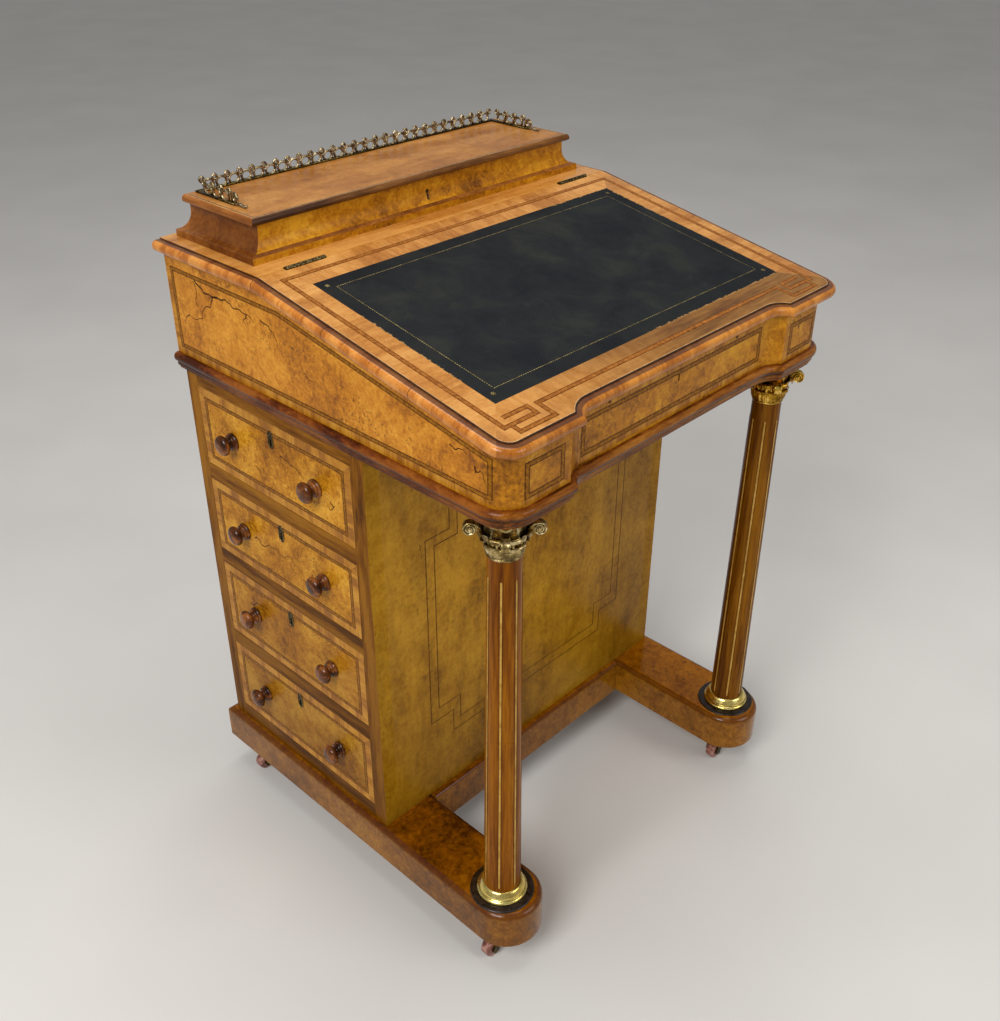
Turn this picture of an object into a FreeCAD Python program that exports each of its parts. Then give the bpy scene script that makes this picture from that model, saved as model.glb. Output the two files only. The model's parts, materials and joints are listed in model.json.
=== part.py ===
import FreeCAD, Part
import math
import os
from FreeCAD import Vector

# Davenport desk, millimetres. +Z up, floor at z = 0, sitter's side at -Y,
# real drawers on the -X side, false drawers on the +X side.
# The origin is the middle of the overall width and depth, at floor level.

# ---- desk box plan ----
DESK_WIDTH = 539.0            # over the side boards
DESK_DEPTH = 522.0            # back face to the face of the front end blocks
FRONT_RECESS = 13.0           # how far the middle of the front stands back
BLOCK_WIDTH = 87.0            # each end block of the front
RECESS_RUN = 30.0             # width of the concave curve beside each block
CORNER_RADIUS = 30.0          # outer front corners
LID_CORNER_RADIUS = 12.0      # sharper front corners of the slope lid
TOP_OVERHANG = 1.5            # flat of top and lid beyond the boards below
NOSE = 12.5                   # projection of the nose round the top and the lid
NOSE_STEP = 1.5               # small fillet between top surface and nose
NOSE_TOP_RADIUS = 5.5
NOSE_UNDER_RADIUS = 6.0

# ---- heights ----
CASTOR_HEIGHT = 48.0
RUNNER_HEIGHT = 51.0
MOULDING_HEIGHT = 20.0
BACK_BOARD_HEIGHT = 121.0     # desk box wall between moulding and fixed top
LID_THICKNESS = 14.0          # slope lid, square to its face
LID_RUN = 342.0               # seam to block face, level distance
SLOPE_DEG = 10.2

# ---- desk box boards ----
WALL = 16.0
DESK_BACK_THICKNESS = 14.0
MOULDING_PROJECTION = 7.0
MOULDING_TOP_RADIUS = 5.0
MOULDING_UNDER_RADIUS = 6.0
BEAD_PROJECTION = 3.5
BEAD_HEIGHT = 5.0
BEAD_RADIUS = 1.8
MOULDING_FOOT = 3.0           # plain edge under the bead
MOULDING_FOOT_PROJECTION = 1.0
LID_REST_GAP = 0.2
SEAM_GAP = 0.4

# ---- writing leather ----
LEATHER_HALF_WIDTH = 233.5
LEATHER_TOP = 39.0            # down the slope from the seam
LEATHER_LENGTH = 259.0
LEATHER_THICKNESS = 1.0

# ---- pedestal ----
PEDESTAL_WIDTH = 526.8
PEDESTAL_DEPTH = 315.4
POST = 20.5                   # face of the front post on the drawer side
REAR_POST = 19.0
SIDE_FRAME_THICKNESS = 20.0
FRONT_PANEL_THICKNESS = 16.0
BACK_PANEL_THICKNESS = 14.0
BOTTOM_RAIL = 22.0
TOP_RAIL = 19.6
DRAWER_HEIGHTS = [109.5, 109.5, 103.5, 103.5]   # openings, lowest first
DRAWER_RAIL = 20.8
RAIL_DEPTH = 50.0
RUNNER_STRIP = 20.0
DUST_BOARD = 6.0
BOTTOM_BOARD = 10.0

# ---- drawers ----
DRAWER_GAP = 0.8              # all round a drawer front
FRONT_THICKNESS = 20.0
DRAWER_SIDE = 9.0
DRAWER_BACK = 9.0
DRAWER_BOTTOM = 6.0
DRAWER_TOP_GAP = 4.0
DRAWER_END_GAP = 18.0         # behind the closed drawer
FALSE_FRONT_THICKNESS = 6.0
KNOB_SPACING = 152.0
KNOB_HEAD_RADIUS = 12.5
KNOB_FLANGE_RADIUS = 11.0
KNOB_NECK_RADIUS = 6.0
KNOB_PROJECTION = 21.0
KNOB_SPIGOT_RADIUS = 4.0
KNOB_SPIGOT = 5.0
KEYHOLE_RADIUS = 1.8
KEYHOLE_SLOT = 2.0
KEYHOLE_LENGTH = 10.0
ESCUTCHEON_RIM = 1.4
ESCUTCHEON_DEPTH = 1.5
ESCUTCHEON_DROP = 21.5        # top of opening to keyhole centre
LOCK_WIDTH = 46.0
LOCK_HEIGHT = 32.0
LOCK_THICKNESS = 9.0

# ---- runners and rails ----
SLEDGE_WIDTH = 86.0
SLEDGE_OUTSIDE = 272.0        # half width over the runners
SLEDGE_TAIL = 14.0            # runner behind the back face
SLEDGE_TOP_RADIUS = 8.0
SLEDGE_FRONT = 271.5          # front end of the runners, ahead of the origin
CROSS_RAIL_THICKNESS = 20.0
CROSS_RAIL_PROJECTION = 9.0   # front rail ahead of the pedestal
CROSS_RAIL_ROUND = 5.0

# ---- columns ----
COLUMN_X = 231.5
COLUMN_INSET = 38.2           # axis behind the block face
DISC_RADIUS = 38.0
DISC_HEIGHT = 5.0
BASE_RADIUS = 30.0
BASE_UPPER_RADIUS = 27.0
BASE_HEIGHT = 11.5
SHAFT_FOOT_RADIUS = 21.5
SHAFT_HEAD_RADIUS = 17.5
SPIGOT_RADIUS = 11.0
CAPITAL_HEIGHT = 54.0
ASTRAGAL_RADIUS = 18.5
ASTRAGAL_HEIGHT = 3.5
LEAF_FOOT = 6.0               # foot of the capital to the full width of its lower leaves
LEAF_TIP = 16.0
LEAF_WAIST = 19.5
UPPER_LEAF_TIP = 27.0
BELL_FOOT = 32.0
BELL_RIM = 42.0
LEAF_NECK_RADIUS = 18.5
LEAF_RADIUS = 20.5
UPPER_LEAF_RADIUS = 22.5
BELL_RADIUS = 25.0
ABACUS_SIZE = 56.0
ABACUS_HEIGHT = 9.0
VOLUTE_RADIUS = 8.5
VOLUTE_WIDTH = 9.0
VOLUTE_REACH = 33.0           # axis of the column to a volute's centre
VOLUTE_DROP = 29.5            # top of the capital to a volute's centre

# ---- stationery box ----
PLINTH_HALF_WIDTH = 255.0
PLINTH_SETBACK = 29.5         # seam to plinth front
PLINTH_REAR_SETBACK = 8.4     # back face of the desk to plinth rear
PLINTH_HEIGHT = 7.0
COVE_SIDE = 17.0
COVE_FRONT = 11.5
COVE_REAR = 8.0
COVE_HEIGHT = 19.0
COVE_LIP = 1.5
BOX_HEIGHT = 36.8
BOX_WALL = 9.0
BOX_LID_THICKNESS = 8.0
BOX_LID_OVERHANG = 4.7
BOX_LID_TOP_RADIUS = 4.5
BOX_LID_UNDER_RADIUS = 2.5
BOX_LID_SIDE_OVERHANG = 9.0
BOX_DIVIDER = 5.0
BOX_DIVIDER_X = 85.0
BOX_DIVIDER_HEIGHT = 28.0
BOX_KEYHOLE_HEIGHT = 22.0     # foot of the box to the keyhole's round head

# ---- gallery ----
GALLERY_HALF_WIDTH = 228.0
GALLERY_REAR_INSET = 6.0      # rear run in from the lid's rear edge
GALLERY_ARM = 88.0
GALLERY_HEIGHT = 17.0
GALLERY_STRIP = 6.0
GALLERY_STRIP_THICKNESS = 1.4
GALLERY_THICKNESS = 1.8
LOOP_PITCH = 16.5
LOOP_RADIUS = 7.0
LOOP_HOLE_RADIUS = 4.2
SCROLL_LENGTH = 22.0

# ---- hinges ----
HINGE_LENGTH = 52.0
HINGE_X = 212.0
HINGE_BARREL_RADIUS = 2.6
HINGE_PIN_RADIUS = 1.2
HINGE_PIN_CLEARANCE = 0.05
HINGE_LEAF = 1.5
HINGE_LEAF_HEIGHT = 11.0
HINGE_CLEARANCE = 0.4
BOX_HINGE_LENGTH = 40.0
BOX_HINGE_X = 150.0
BOX_HINGE_LEAF_HEIGHT = 7.0

# ---- castors ----
CASTOR_INSET_FRONT = 46.5     # runner's front end to the pivot
CASTOR_INSET_REAR = 44.0
CASTOR_X = 234.0
CASTOR_PLATE_RADIUS = 20.0
CASTOR_PLATE = 3.0
CASTOR_SOCKET_RADIUS = 6.5
CASTOR_SOCKET_DEPTH = 20.0
CASTOR_STEM_RADIUS = 4.0
CASTOR_CLEARANCE = 0.06
CASTOR_RUN_GAP = 0.4
CASTOR_CROWN_RADIUS = 11.0
CASTOR_CROWN = 5.0
CASTOR_TRAIL = 17.0
WHEEL_RADIUS = 12.0
WHEEL_WIDTH = 13.0
WHEEL_EDGE = 2.5
WHEEL_SIDE_GAP = 0.5
AXLE_RADIUS = 2.0
CHEEK = 2.5

# ---- derived levels ----
SLOPE = math.radians(SLOPE_DEG)
NOSE_REACH = NOSE * math.cos(SLOPE) - (NOSE_STEP + NOSE_TOP_RADIUS) * math.sin(SLOPE)
Y_BACK = (DESK_DEPTH + NOSE_REACH - SLEDGE_TAIL) / 2
Y_FRONT = Y_BACK - DESK_DEPTH
Y_SEAM = Y_FRONT + LID_RUN
Y_SLEDGE_REAR = Y_BACK + SLEDGE_TAIL
Y_PEDESTAL = Y_BACK - PEDESTAL_DEPTH
Y_CORNER = Y_FRONT + CORNER_RADIUS
Z_SLEDGE = CASTOR_HEIGHT
Z_PEDESTAL = Z_SLEDGE + RUNNER_HEIGHT
Z_SOFFIT = Z_PEDESTAL + BOTTOM_RAIL + sum(DRAWER_HEIGHTS) + (len(DRAWER_HEIGHTS) - 1) * DRAWER_RAIL + TOP_RAIL
Z_DESK = Z_SOFFIT + MOULDING_HEIGHT
Z_UNDER_TOP = Z_DESK + BACK_BOARD_HEIGHT
TOP_THICKNESS = LID_THICKNESS / math.cos(SLOPE)
Z_TOP = Z_UNDER_TOP + TOP_THICKNESS
HALF_DESK = DESK_WIDTH / 2
HALF_PEDESTAL = PEDESTAL_WIDTH / 2
LID_SLOPE_LENGTH = LID_RUN / math.cos(SLOPE)
Y_OPENING_FRONT = Y_PEDESTAL + POST
Y_OPENING_REAR = Y_BACK - REAR_POST
Y_OPENING_MIDDLE = (Y_OPENING_FRONT + Y_OPENING_REAR) / 2
X_FRAME_INSIDE = HALF_PEDESTAL - SIDE_FRAME_THICKNESS
COLUMN_Y = Y_FRONT + COLUMN_INSET
Y_PLINTH = Y_SEAM + PLINTH_SETBACK
Y_PLINTH_REAR = Y_BACK - PLINTH_REAR_SETBACK
Y_BOX = Y_PLINTH + COVE_FRONT
Y_BOX_REAR = Y_PLINTH_REAR - COVE_REAR
BOX_HALF = PLINTH_HALF_WIDTH - COVE_SIDE
Z_BOX_TOP = Z_TOP + BOX_HEIGHT
Z_BOX_LID = Z_BOX_TOP + LID_REST_GAP
Z_BOX_LID_TOP = Z_BOX_LID + BOX_LID_THICKNESS

os.makedirs("parts", exist_ok=True)


# ---- small helpers ----

def block(x0, x1, y0, y1, z0, z1):
    """Rectangular solid between two corners."""
    return Part.makeBox(x1 - x0, y1 - y0, z1 - z0, Vector(x0, y0, z0))


def extruded(points, direction):
    """Prism from a closed polygon of points."""
    face = Part.Face(Part.makePolygon(points + [points[0]]))
    return face.extrude(direction)


def turned(profile, centre):
    """Solid of revolution about a vertical axis; profile is a list of (radius, z) pairs."""
    points = [Vector(radius, 0, z) for radius, z in profile]
    face = Part.Face(Part.makePolygon(points + [points[0]]))
    solid = face.revolve(Vector(0, 0, 0), Vector(0, 0, 1), 360)
    solid.translate(centre)
    return solid


def rod(radius, length, base, direction):
    """Round bar from a base point along a direction."""
    return Part.makeCylinder(radius, length, base, direction)


def mirrored(shape):
    """The same shape on the other side of the desk."""
    return shape.mirror(Vector(0, 0, 0), Vector(1, 0, 0))


def at_both_ends(shape):
    """A shape and its mirror image."""
    return [shape, mirrored(shape)]


def save(node, solids):
    """Write one node; several solids stay separate solids of the node."""
    flat = []
    for shape in solids:
        flat.extend(shape.Solids)
    if len(flat) == 1:
        flat[0].exportStep("parts/" + node + ".step")
    else:
        Part.makeCompound(flat).exportStep("parts/" + node + ".step")


def front_outline(front, rear, offset, corner_radius=CORNER_RADIUS):
    """Plan of the desk front: end blocks, recessed middle, concave curves between them."""
    half = HALF_DESK + offset
    face_y = front - offset
    corner = corner_radius + offset
    curve_x = HALF_DESK - BLOCK_WIDTH - RECESS_RUN
    base_radius = (RECESS_RUN ** 2 + FRONT_RECESS ** 2) / (2 * FRONT_RECESS)
    curve_y = front + FRONT_RECESS - base_radius
    radius = base_radius - offset
    step_x = curve_x + math.sqrt(radius ** 2 - (face_y - curve_y) ** 2)
    start = math.atan2(face_y - curve_y, step_x - curve_x)
    middle = (start + math.pi / 2) / 2
    middle_x = curve_x + radius * math.cos(middle)
    middle_y = curve_y + radius * math.sin(middle)
    recess_y = curve_y + radius
    bend = corner * (1 - math.sqrt(0.5))
    corner_start = Vector(half, face_y + corner, 0)
    corner_middle = Vector(half - bend, face_y + bend, 0)
    corner_end = Vector(half - corner, face_y, 0)
    curve_start = Vector(step_x, face_y, 0)
    curve_middle = Vector(middle_x, middle_y, 0)
    curve_end = Vector(curve_x, recess_y, 0)
    rear_corner = Vector(half, rear, 0)
    curves = [
        Part.LineSegment(across(rear_corner), across(corner_start)),
        Part.Arc(across(corner_start), across(corner_middle), across(corner_end)),
        Part.LineSegment(across(corner_end), across(curve_start)),
        Part.Arc(across(curve_start), across(curve_middle), across(curve_end)),
        Part.LineSegment(across(curve_end), curve_end),
        Part.Arc(curve_end, curve_middle, curve_start),
        Part.LineSegment(curve_start, corner_end),
        Part.Arc(corner_end, corner_middle, corner_start),
        Part.LineSegment(corner_start, rear_corner),
        Part.LineSegment(rear_corner, across(rear_corner)),
    ]
    return Part.Face(Part.Wire([curve.toShape() for curve in curves]))


def across(point):
    """The same point on the other side of the desk."""
    return Vector(-point.x, point.y, point.z)


def level_edges(solid, z, rear=None):
    """Edges of a solid that lie at one height, without those on its rear line."""
    found = []
    for edge in solid.Edges:
        ends = [vertex.Point for vertex in edge.Vertexes]
        if any(abs(end.z - z) > 0.001 for end in ends):
            continue
        if rear is not None and all(abs(end.y - rear) < 0.001 for end in ends):
            continue
        found.append(edge)
    return found


def rounded(solid, z, radius, rear=None):
    """Round the edges of a solid at one height."""
    return solid.makeFillet(radius, level_edges(solid, z, rear))


def on_slope(shape):
    """Carry a shape from the slope's own plane (seam at y = 0, top at z = 0) to its place."""
    placed = shape.copy()
    placed.rotate(Vector(0, 0, 0), Vector(1, 0, 0), SLOPE_DEG)
    placed.translate(Vector(0, Y_SEAM, Z_TOP))
    return placed


# ---- desk box ----

def desk_section(clearance):
    """Side view of the space inside the top's underside, as a prism across the desk."""
    low_front = Z_UNDER_TOP - clearance - (Y_SEAM - Y_FRONT) * math.tan(SLOPE)
    points = [
        Vector(-DESK_WIDTH, Y_FRONT, Z_DESK),
        Vector(-DESK_WIDTH, Y_BACK, Z_DESK),
        Vector(-DESK_WIDTH, Y_BACK, Z_UNDER_TOP),
        Vector(-DESK_WIDTH, Y_SEAM, Z_UNDER_TOP),
        Vector(-DESK_WIDTH, Y_SEAM, Z_UNDER_TOP - clearance),
        Vector(-DESK_WIDTH, Y_FRONT, low_front),
    ]
    return extruded(points, Vector(2 * DESK_WIDTH, 0, 0))


def desk_side():
    """Right-hand side board of the desk box."""
    board = block(HALF_DESK - WALL, HALF_DESK, Y_CORNER, Y_BACK, Z_DESK, Z_UNDER_TOP)
    return board.common(desk_section(LID_REST_GAP))


def keyhole_cutter(depth):
    """Keyhole with a round head, pointing along +Y, head centre at the origin."""
    head = rod(KEYHOLE_RADIUS, depth, Vector(0, 0, 0), Vector(0, 1, 0))
    slot = block(-KEYHOLE_SLOT / 2, KEYHOLE_SLOT / 2, 0, depth, -KEYHOLE_LENGTH + KEYHOLE_RADIUS, 0)
    return head.fuse(slot)


def desk_front():
    """Shaped front with its two end blocks and the keyhole."""
    blank = front_outline(Y_FRONT, Y_BACK, 0).extrude(Vector(0, 0, BACK_BOARD_HEIGHT))
    blank.translate(Vector(0, 0, Z_DESK))
    front = blank.common(desk_section(LID_REST_GAP))
    front = front.common(block(-DESK_WIDTH, DESK_WIDTH, Y_FRONT, Y_CORNER, Z_DESK, Z_TOP))
    keyhole = keyhole_cutter(CORNER_RADIUS)
    keyhole.translate(Vector(0, Y_FRONT, desk_lock_level()))
    return front.cut(keyhole)


def desk_lock_level():
    """Height of the desk keyhole's round head."""
    return Z_DESK + 45.0


def desk_lock():
    """Lock case on the inside of the desk front."""
    z = desk_lock_level() + 8
    return block(-LOCK_WIDTH / 2, LOCK_WIDTH / 2, Y_CORNER, Y_CORNER + LOCK_THICKNESS, z - LOCK_HEIGHT, z)


def desk_back():
    """Back board of the desk box."""
    inside = HALF_DESK - WALL
    return block(-inside, inside, Y_BACK - DESK_BACK_THICKNESS, Y_BACK, Z_DESK, Z_UNDER_TOP)


def moulding_opening():
    """Rectangle inside the lower moulding, filled by the bottom board."""
    inside = HALF_DESK - CORNER_RADIUS
    return block(-inside, inside, Y_CORNER, Y_BACK - CORNER_RADIUS, Z_SOFFIT, Z_DESK)


def lower_moulding():
    """Moulded frame between pedestal and desk box: a plain foot, a bead, a larger round above."""
    z_bead = Z_SOFFIT + MOULDING_FOOT
    z_round = z_bead + BEAD_HEIGHT
    round_height = Vector(0, 0, Z_DESK - z_round)
    upper = front_outline(Y_FRONT, Y_BACK, MOULDING_PROJECTION).extrude(round_height)
    upper.translate(Vector(0, 0, z_round))
    upper = rounded(upper, Z_DESK, MOULDING_TOP_RADIUS, Y_BACK)
    upper = rounded(upper, z_round, MOULDING_UNDER_RADIUS, Y_BACK)
    bead = front_outline(Y_FRONT, Y_BACK, BEAD_PROJECTION).extrude(Vector(0, 0, BEAD_HEIGHT))
    bead.translate(Vector(0, 0, z_bead))
    bead = rounded(bead, z_bead, BEAD_RADIUS, Y_BACK)
    foot = front_outline(Y_FRONT, Y_BACK, MOULDING_FOOT_PROJECTION).extrude(Vector(0, 0, MOULDING_FOOT))
    foot.translate(Vector(0, 0, Z_SOFFIT))
    return upper.fuse([bead, foot]).cut(moulding_opening())


# ---- top and slope lid ----

def hinge_slots():
    """Space taken out of top and lid round the hinge barrels and their leaves."""
    cutters = []
    radius = HINGE_BARREL_RADIUS + HINGE_CLEARANCE
    for side in (-1, 1):
        x0 = side * HINGE_X - HINGE_LENGTH / 2 - HINGE_CLEARANCE
        length = HINGE_LENGTH + 2 * HINGE_CLEARANCE
        barrel = rod(radius, length, Vector(x0, Y_SEAM, Z_TOP), Vector(1, 0, 0))
        reach = SEAM_GAP / 2 + HINGE_LEAF
        leaves = block(x0, x0 + length, Y_SEAM - reach, Y_SEAM + reach, Z_TOP - HINGE_LEAF_HEIGHT, Z_TOP)
        cutters.append(barrel.fuse(leaves))
    return cutters


def top_board():
    """Fixed board behind the seam, with the nose along both ends."""
    y0 = Y_SEAM + SEAM_GAP / 2
    flat = HALF_DESK + TOP_OVERHANG
    core = block(-flat, flat, y0, Y_BACK, Z_UNDER_TOP, Z_TOP)
    half = HALF_DESK + NOSE
    nose = block(-half, half, y0, Y_BACK, Z_UNDER_TOP, Z_TOP - NOSE_STEP)
    nose = round_ends(nose, Z_TOP - NOSE_STEP, NOSE_TOP_RADIUS)
    nose = round_ends(nose, Z_UNDER_TOP, NOSE_UNDER_RADIUS)
    board = core.fuse(nose)
    for cutter in hinge_slots():
        board = board.cut(cutter)
    return board


def round_ends(board, z, radius):
    """Round the long edges of a board that run along Y at one height."""
    found = []
    for edge in level_edges(board, z):
        ends = [vertex.Point for vertex in edge.Vertexes]
        if abs(ends[0].x - ends[1].x) < 0.001:
            found.append(edge)
    return board.makeFillet(radius, found)


def lid_blank():
    """Slope lid in its own plane, long enough to pass the seam."""
    rear = LID_THICKNESS
    front = -LID_SLOPE_LENGTH
    core = front_outline(front, rear, TOP_OVERHANG, LID_CORNER_RADIUS).extrude(Vector(0, 0, LID_THICKNESS))
    core.translate(Vector(0, 0, -LID_THICKNESS))
    nose = front_outline(front, rear, NOSE, LID_CORNER_RADIUS).extrude(Vector(0, 0, LID_THICKNESS - NOSE_STEP))
    nose.translate(Vector(0, 0, -LID_THICKNESS))
    nose = rounded(nose, -NOSE_STEP, NOSE_TOP_RADIUS, rear)
    nose = rounded(nose, -LID_THICKNESS, NOSE_UNDER_RADIUS, rear)
    return core.fuse(nose)


def leather_blank(top, bottom):
    """Leather panel, or the shallow bed cut for it, in the lid's own plane."""
    low_edge = -LEATHER_TOP - LEATHER_LENGTH
    return block(-LEATHER_HALF_WIDTH, LEATHER_HALF_WIDTH, low_edge, -LEATHER_TOP, bottom, top)


def slope_lid():
    """Sloping lid with nose, leather bed and hinge slots; its rear edge is upright."""
    board = lid_blank().cut(leather_blank(1, -LEATHER_THICKNESS))
    board = on_slope(board)
    cut_y = Y_SEAM - SEAM_GAP / 2
    behind = block(-DESK_WIDTH, DESK_WIDTH, cut_y, Y_SEAM + DESK_DEPTH, Z_DESK, Z_TOP + DESK_DEPTH)
    board = board.cut(behind)
    for cutter in hinge_slots():
        board = board.cut(cutter)
    return board


def writing_leather():
    """Inset leather."""
    return on_slope(leather_blank(0, -LEATHER_THICKNESS))


def desk_hinge():
    """Butt hinge on the seam: fixed leaf and outer knuckles behind, lid leaf and middle knuckle in front."""
    y = Y_SEAM
    z = Z_TOP
    length = HINGE_LENGTH
    third = length / 3
    x0 = HINGE_X - length / 2
    gap = SEAM_GAP / 2
    axis = Vector(1, 0, 0)
    room = HINGE_BARREL_RADIUS + HINGE_CLEARANCE
    outer = [
        rod(HINGE_BARREL_RADIUS, third - gap, Vector(x0, y, z), axis),
        rod(HINGE_BARREL_RADIUS, third - gap, Vector(x0 + 2 * third + gap, y, z), axis),
        rod(HINGE_PIN_RADIUS, length, Vector(x0, y, z), axis),
    ]
    middle = rod(HINGE_BARREL_RADIUS, third - 2 * gap, Vector(x0 + third + gap, y, z), axis)
    rear_leaf = block(x0, x0 + length, y + gap, y + gap + HINGE_LEAF, z - HINGE_LEAF_HEIGHT, z)
    front_leaf = block(x0, x0 + length, y - gap - HINGE_LEAF, y - gap, z - HINGE_LEAF_HEIGHT, z)
    rear_leaf = rear_leaf.cut(rod(room, third, Vector(x0 + third, y, z), axis))
    front_leaf = front_leaf.cut(rod(room, third, Vector(x0, y, z), axis))
    front_leaf = front_leaf.cut(rod(room, third, Vector(x0 + 2 * third, y, z), axis))
    fixed = rear_leaf.fuse(outer)
    bore = rod(HINGE_PIN_RADIUS + HINGE_PIN_CLEARANCE, length, Vector(x0, y, z), axis)
    moving = front_leaf.fuse(middle).cut(bore)
    return fixed, moving


# ---- pedestal ----

def opening_levels():
    """Bottom and top of each drawer opening, lowest first."""
    levels = []
    z = Z_PEDESTAL + BOTTOM_RAIL
    for height in DRAWER_HEIGHTS:
        levels.append((z, z + height))
        z = z + height + DRAWER_RAIL
    return levels


def rail_levels():
    """Bottom and top of each rail under a drawer, then of the top rail."""
    levels = []
    z = Z_PEDESTAL
    for low, high in opening_levels():
        levels.append((z, low))
        z = high
    levels.append((z, Z_SOFFIT))
    return levels


def drawer_side_frame():
    """Two posts and the rails between them on the drawer side."""
    outside = -HALF_PEDESTAL
    posts = [
        block(outside, -X_FRAME_INSIDE, Y_PEDESTAL, Y_OPENING_FRONT, Z_PEDESTAL, Z_SOFFIT),
        block(outside, -X_FRAME_INSIDE, Y_OPENING_REAR, Y_BACK, Z_PEDESTAL, Z_SOFFIT),
    ]
    rails = []
    for low, high in rail_levels():
        rails.append(block(outside, outside + RAIL_DEPTH, Y_OPENING_FRONT, Y_OPENING_REAR, low, high))
    return posts + rails


def dust_frames():
    """Runner strips level with each rail, and a thin dust board between them."""
    solids = []
    x0 = -HALF_PEDESTAL + RAIL_DEPTH
    for index, (low, high) in enumerate(rail_levels()[:-1]):
        solids.append(block(x0, X_FRAME_INSIDE, Y_OPENING_FRONT, Y_OPENING_FRONT + RUNNER_STRIP, low, high))
        solids.append(block(x0, X_FRAME_INSIDE, Y_OPENING_REAR - RUNNER_STRIP, Y_OPENING_REAR, low, high))
        if index > 0:
            solids.append(block(x0, X_FRAME_INSIDE, Y_OPENING_FRONT + RUNNER_STRIP,
                                Y_OPENING_REAR - RUNNER_STRIP, low, low + DUST_BOARD))
    return solids


def pedestal_bottom_board():
    """Bottom board between the lowest runner strips."""
    return block(-HALF_PEDESTAL + RAIL_DEPTH, X_FRAME_INSIDE, Y_OPENING_FRONT + RUNNER_STRIP,
                 Y_OPENING_REAR - RUNNER_STRIP, Z_PEDESTAL, Z_PEDESTAL + BOTTOM_BOARD)


def pedestal_front_panel():
    """Veneered panel facing the sitter's knees."""
    return block(-X_FRAME_INSIDE, X_FRAME_INSIDE, Y_PEDESTAL, Y_PEDESTAL + FRONT_PANEL_THICKNESS,
                 Z_PEDESTAL, Z_SOFFIT)


def pedestal_back_panel():
    """Back panel of the pedestal."""
    return block(-X_FRAME_INSIDE, X_FRAME_INSIDE, Y_BACK - BACK_PANEL_THICKNESS, Y_BACK, Z_PEDESTAL, Z_SOFFIT)


def false_front(low, high, room):
    """False drawer front let into the right side board; room widens it into its bed."""
    gap = DRAWER_GAP - room
    return block(HALF_PEDESTAL - FALSE_FRONT_THICKNESS, HALF_PEDESTAL, Y_OPENING_FRONT + gap,
                 Y_OPENING_REAR - gap, low + gap, high - gap)


def right_side_panel():
    """Right side board with four shallow beds for the false fronts."""
    board = block(X_FRAME_INSIDE, HALF_PEDESTAL, Y_PEDESTAL, Y_BACK, Z_PEDESTAL, Z_SOFFIT)
    for low, high in opening_levels():
        board = board.cut(false_front(low, high, DRAWER_GAP))
    return board


# ---- drawer furniture, made at the origin facing -X ----

def knob():
    """Turned mushroom knob along -X with a spigot behind it."""
    reach = KNOB_PROJECTION
    head = KNOB_HEAD_RADIUS
    profile = [
        (0, -KNOB_SPIGOT), (KNOB_SPIGOT_RADIUS, -KNOB_SPIGOT), (KNOB_SPIGOT_RADIUS, 0),
        (KNOB_FLANGE_RADIUS, 0), (KNOB_FLANGE_RADIUS, 1.6), (KNOB_NECK_RADIUS + 1.6, 4.6),
        (KNOB_NECK_RADIUS, 7.6), (KNOB_NECK_RADIUS + 0.8, 9.6), (head - 2.4, 11.6), (head, 14.4),
        (head - 1.2, 17.4), (head - 4.4, reach - 1.3), (head - 8.2, reach - 0.3), (0, reach),
    ]
    solid = turned(profile, Vector(0, 0, 0))
    solid.rotate(Vector(0, 0, 0), Vector(0, 1, 0), -90)
    return solid


def knob_places(low, high):
    """Centres of the two knobs on a drawer front, on its face."""
    z = (low + high) / 2
    return [Vector(-HALF_PEDESTAL, Y_OPENING_MIDDLE + side * KNOB_SPACING / 2, z) for side in (-1, 1)]


def knob_hole(place):
    """Hole for a knob's spigot, same radius as the spigot."""
    return rod(KNOB_SPIGOT_RADIUS, KNOB_SPIGOT, place, Vector(1, 0, 0))


def side_keyhole(depth):
    """Keyhole through a drawer front, along +X from the face."""
    cutter = keyhole_cutter(depth)
    cutter.rotate(Vector(0, 0, 0), Vector(0, 0, 1), -90)
    return cutter


def escutcheon_blank():
    """Keyhole-shaped brass plate let into the face, without its hole."""
    rim = ESCUTCHEON_RIM
    head = rod(KEYHOLE_RADIUS + rim, ESCUTCHEON_DEPTH, Vector(0, 0, 0), Vector(1, 0, 0))
    half = KEYHOLE_SLOT / 2 + rim
    foot = -KEYHOLE_LENGTH + KEYHOLE_RADIUS - rim
    slot = block(0, ESCUTCHEON_DEPTH, -half, half, foot, 0)
    return head.fuse(slot).removeSplitter()


def keyhole_place(high):
    """Centre of the keyhole's round head on a drawer face."""
    return Vector(-HALF_PEDESTAL, Y_OPENING_MIDDLE, high - ESCUTCHEON_DROP)


def drawer(low, high):
    """One drawer: front, two sides, back and bottom."""
    x_face = -HALF_PEDESTAL
    x_box = x_face + FRONT_THICKNESS
    x_rear = X_FRAME_INSIDE - DRAWER_END_GAP
    y0 = Y_OPENING_FRONT + DRAWER_GAP
    y1 = Y_OPENING_REAR - DRAWER_GAP
    z0 = low + LID_REST_GAP
    z1 = high - DRAWER_TOP_GAP
    front = block(x_face, x_box, y0, y1, low + DRAWER_GAP, high - DRAWER_GAP)
    for place in knob_places(low, high):
        front = front.cut(knob_hole(place))
    place = keyhole_place(high)
    for cutter in (side_keyhole(FRONT_THICKNESS), escutcheon_blank()):
        cutter.translate(place)
        front = front.cut(cutter)
    sides = [
        block(x_box, x_rear, y0, y0 + DRAWER_SIDE, z0, z1),
        block(x_box, x_rear, y1 - DRAWER_SIDE, y1, z0, z1),
    ]
    back = block(x_rear - DRAWER_BACK, x_rear, y0 + DRAWER_SIDE, y1 - DRAWER_SIDE, z0 + DRAWER_BOTTOM, z1)
    bottom = block(x_box, x_rear, y0 + DRAWER_SIDE, y1 - DRAWER_SIDE, z0, z0 + DRAWER_BOTTOM)
    return [front] + sides + [back, bottom]


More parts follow.
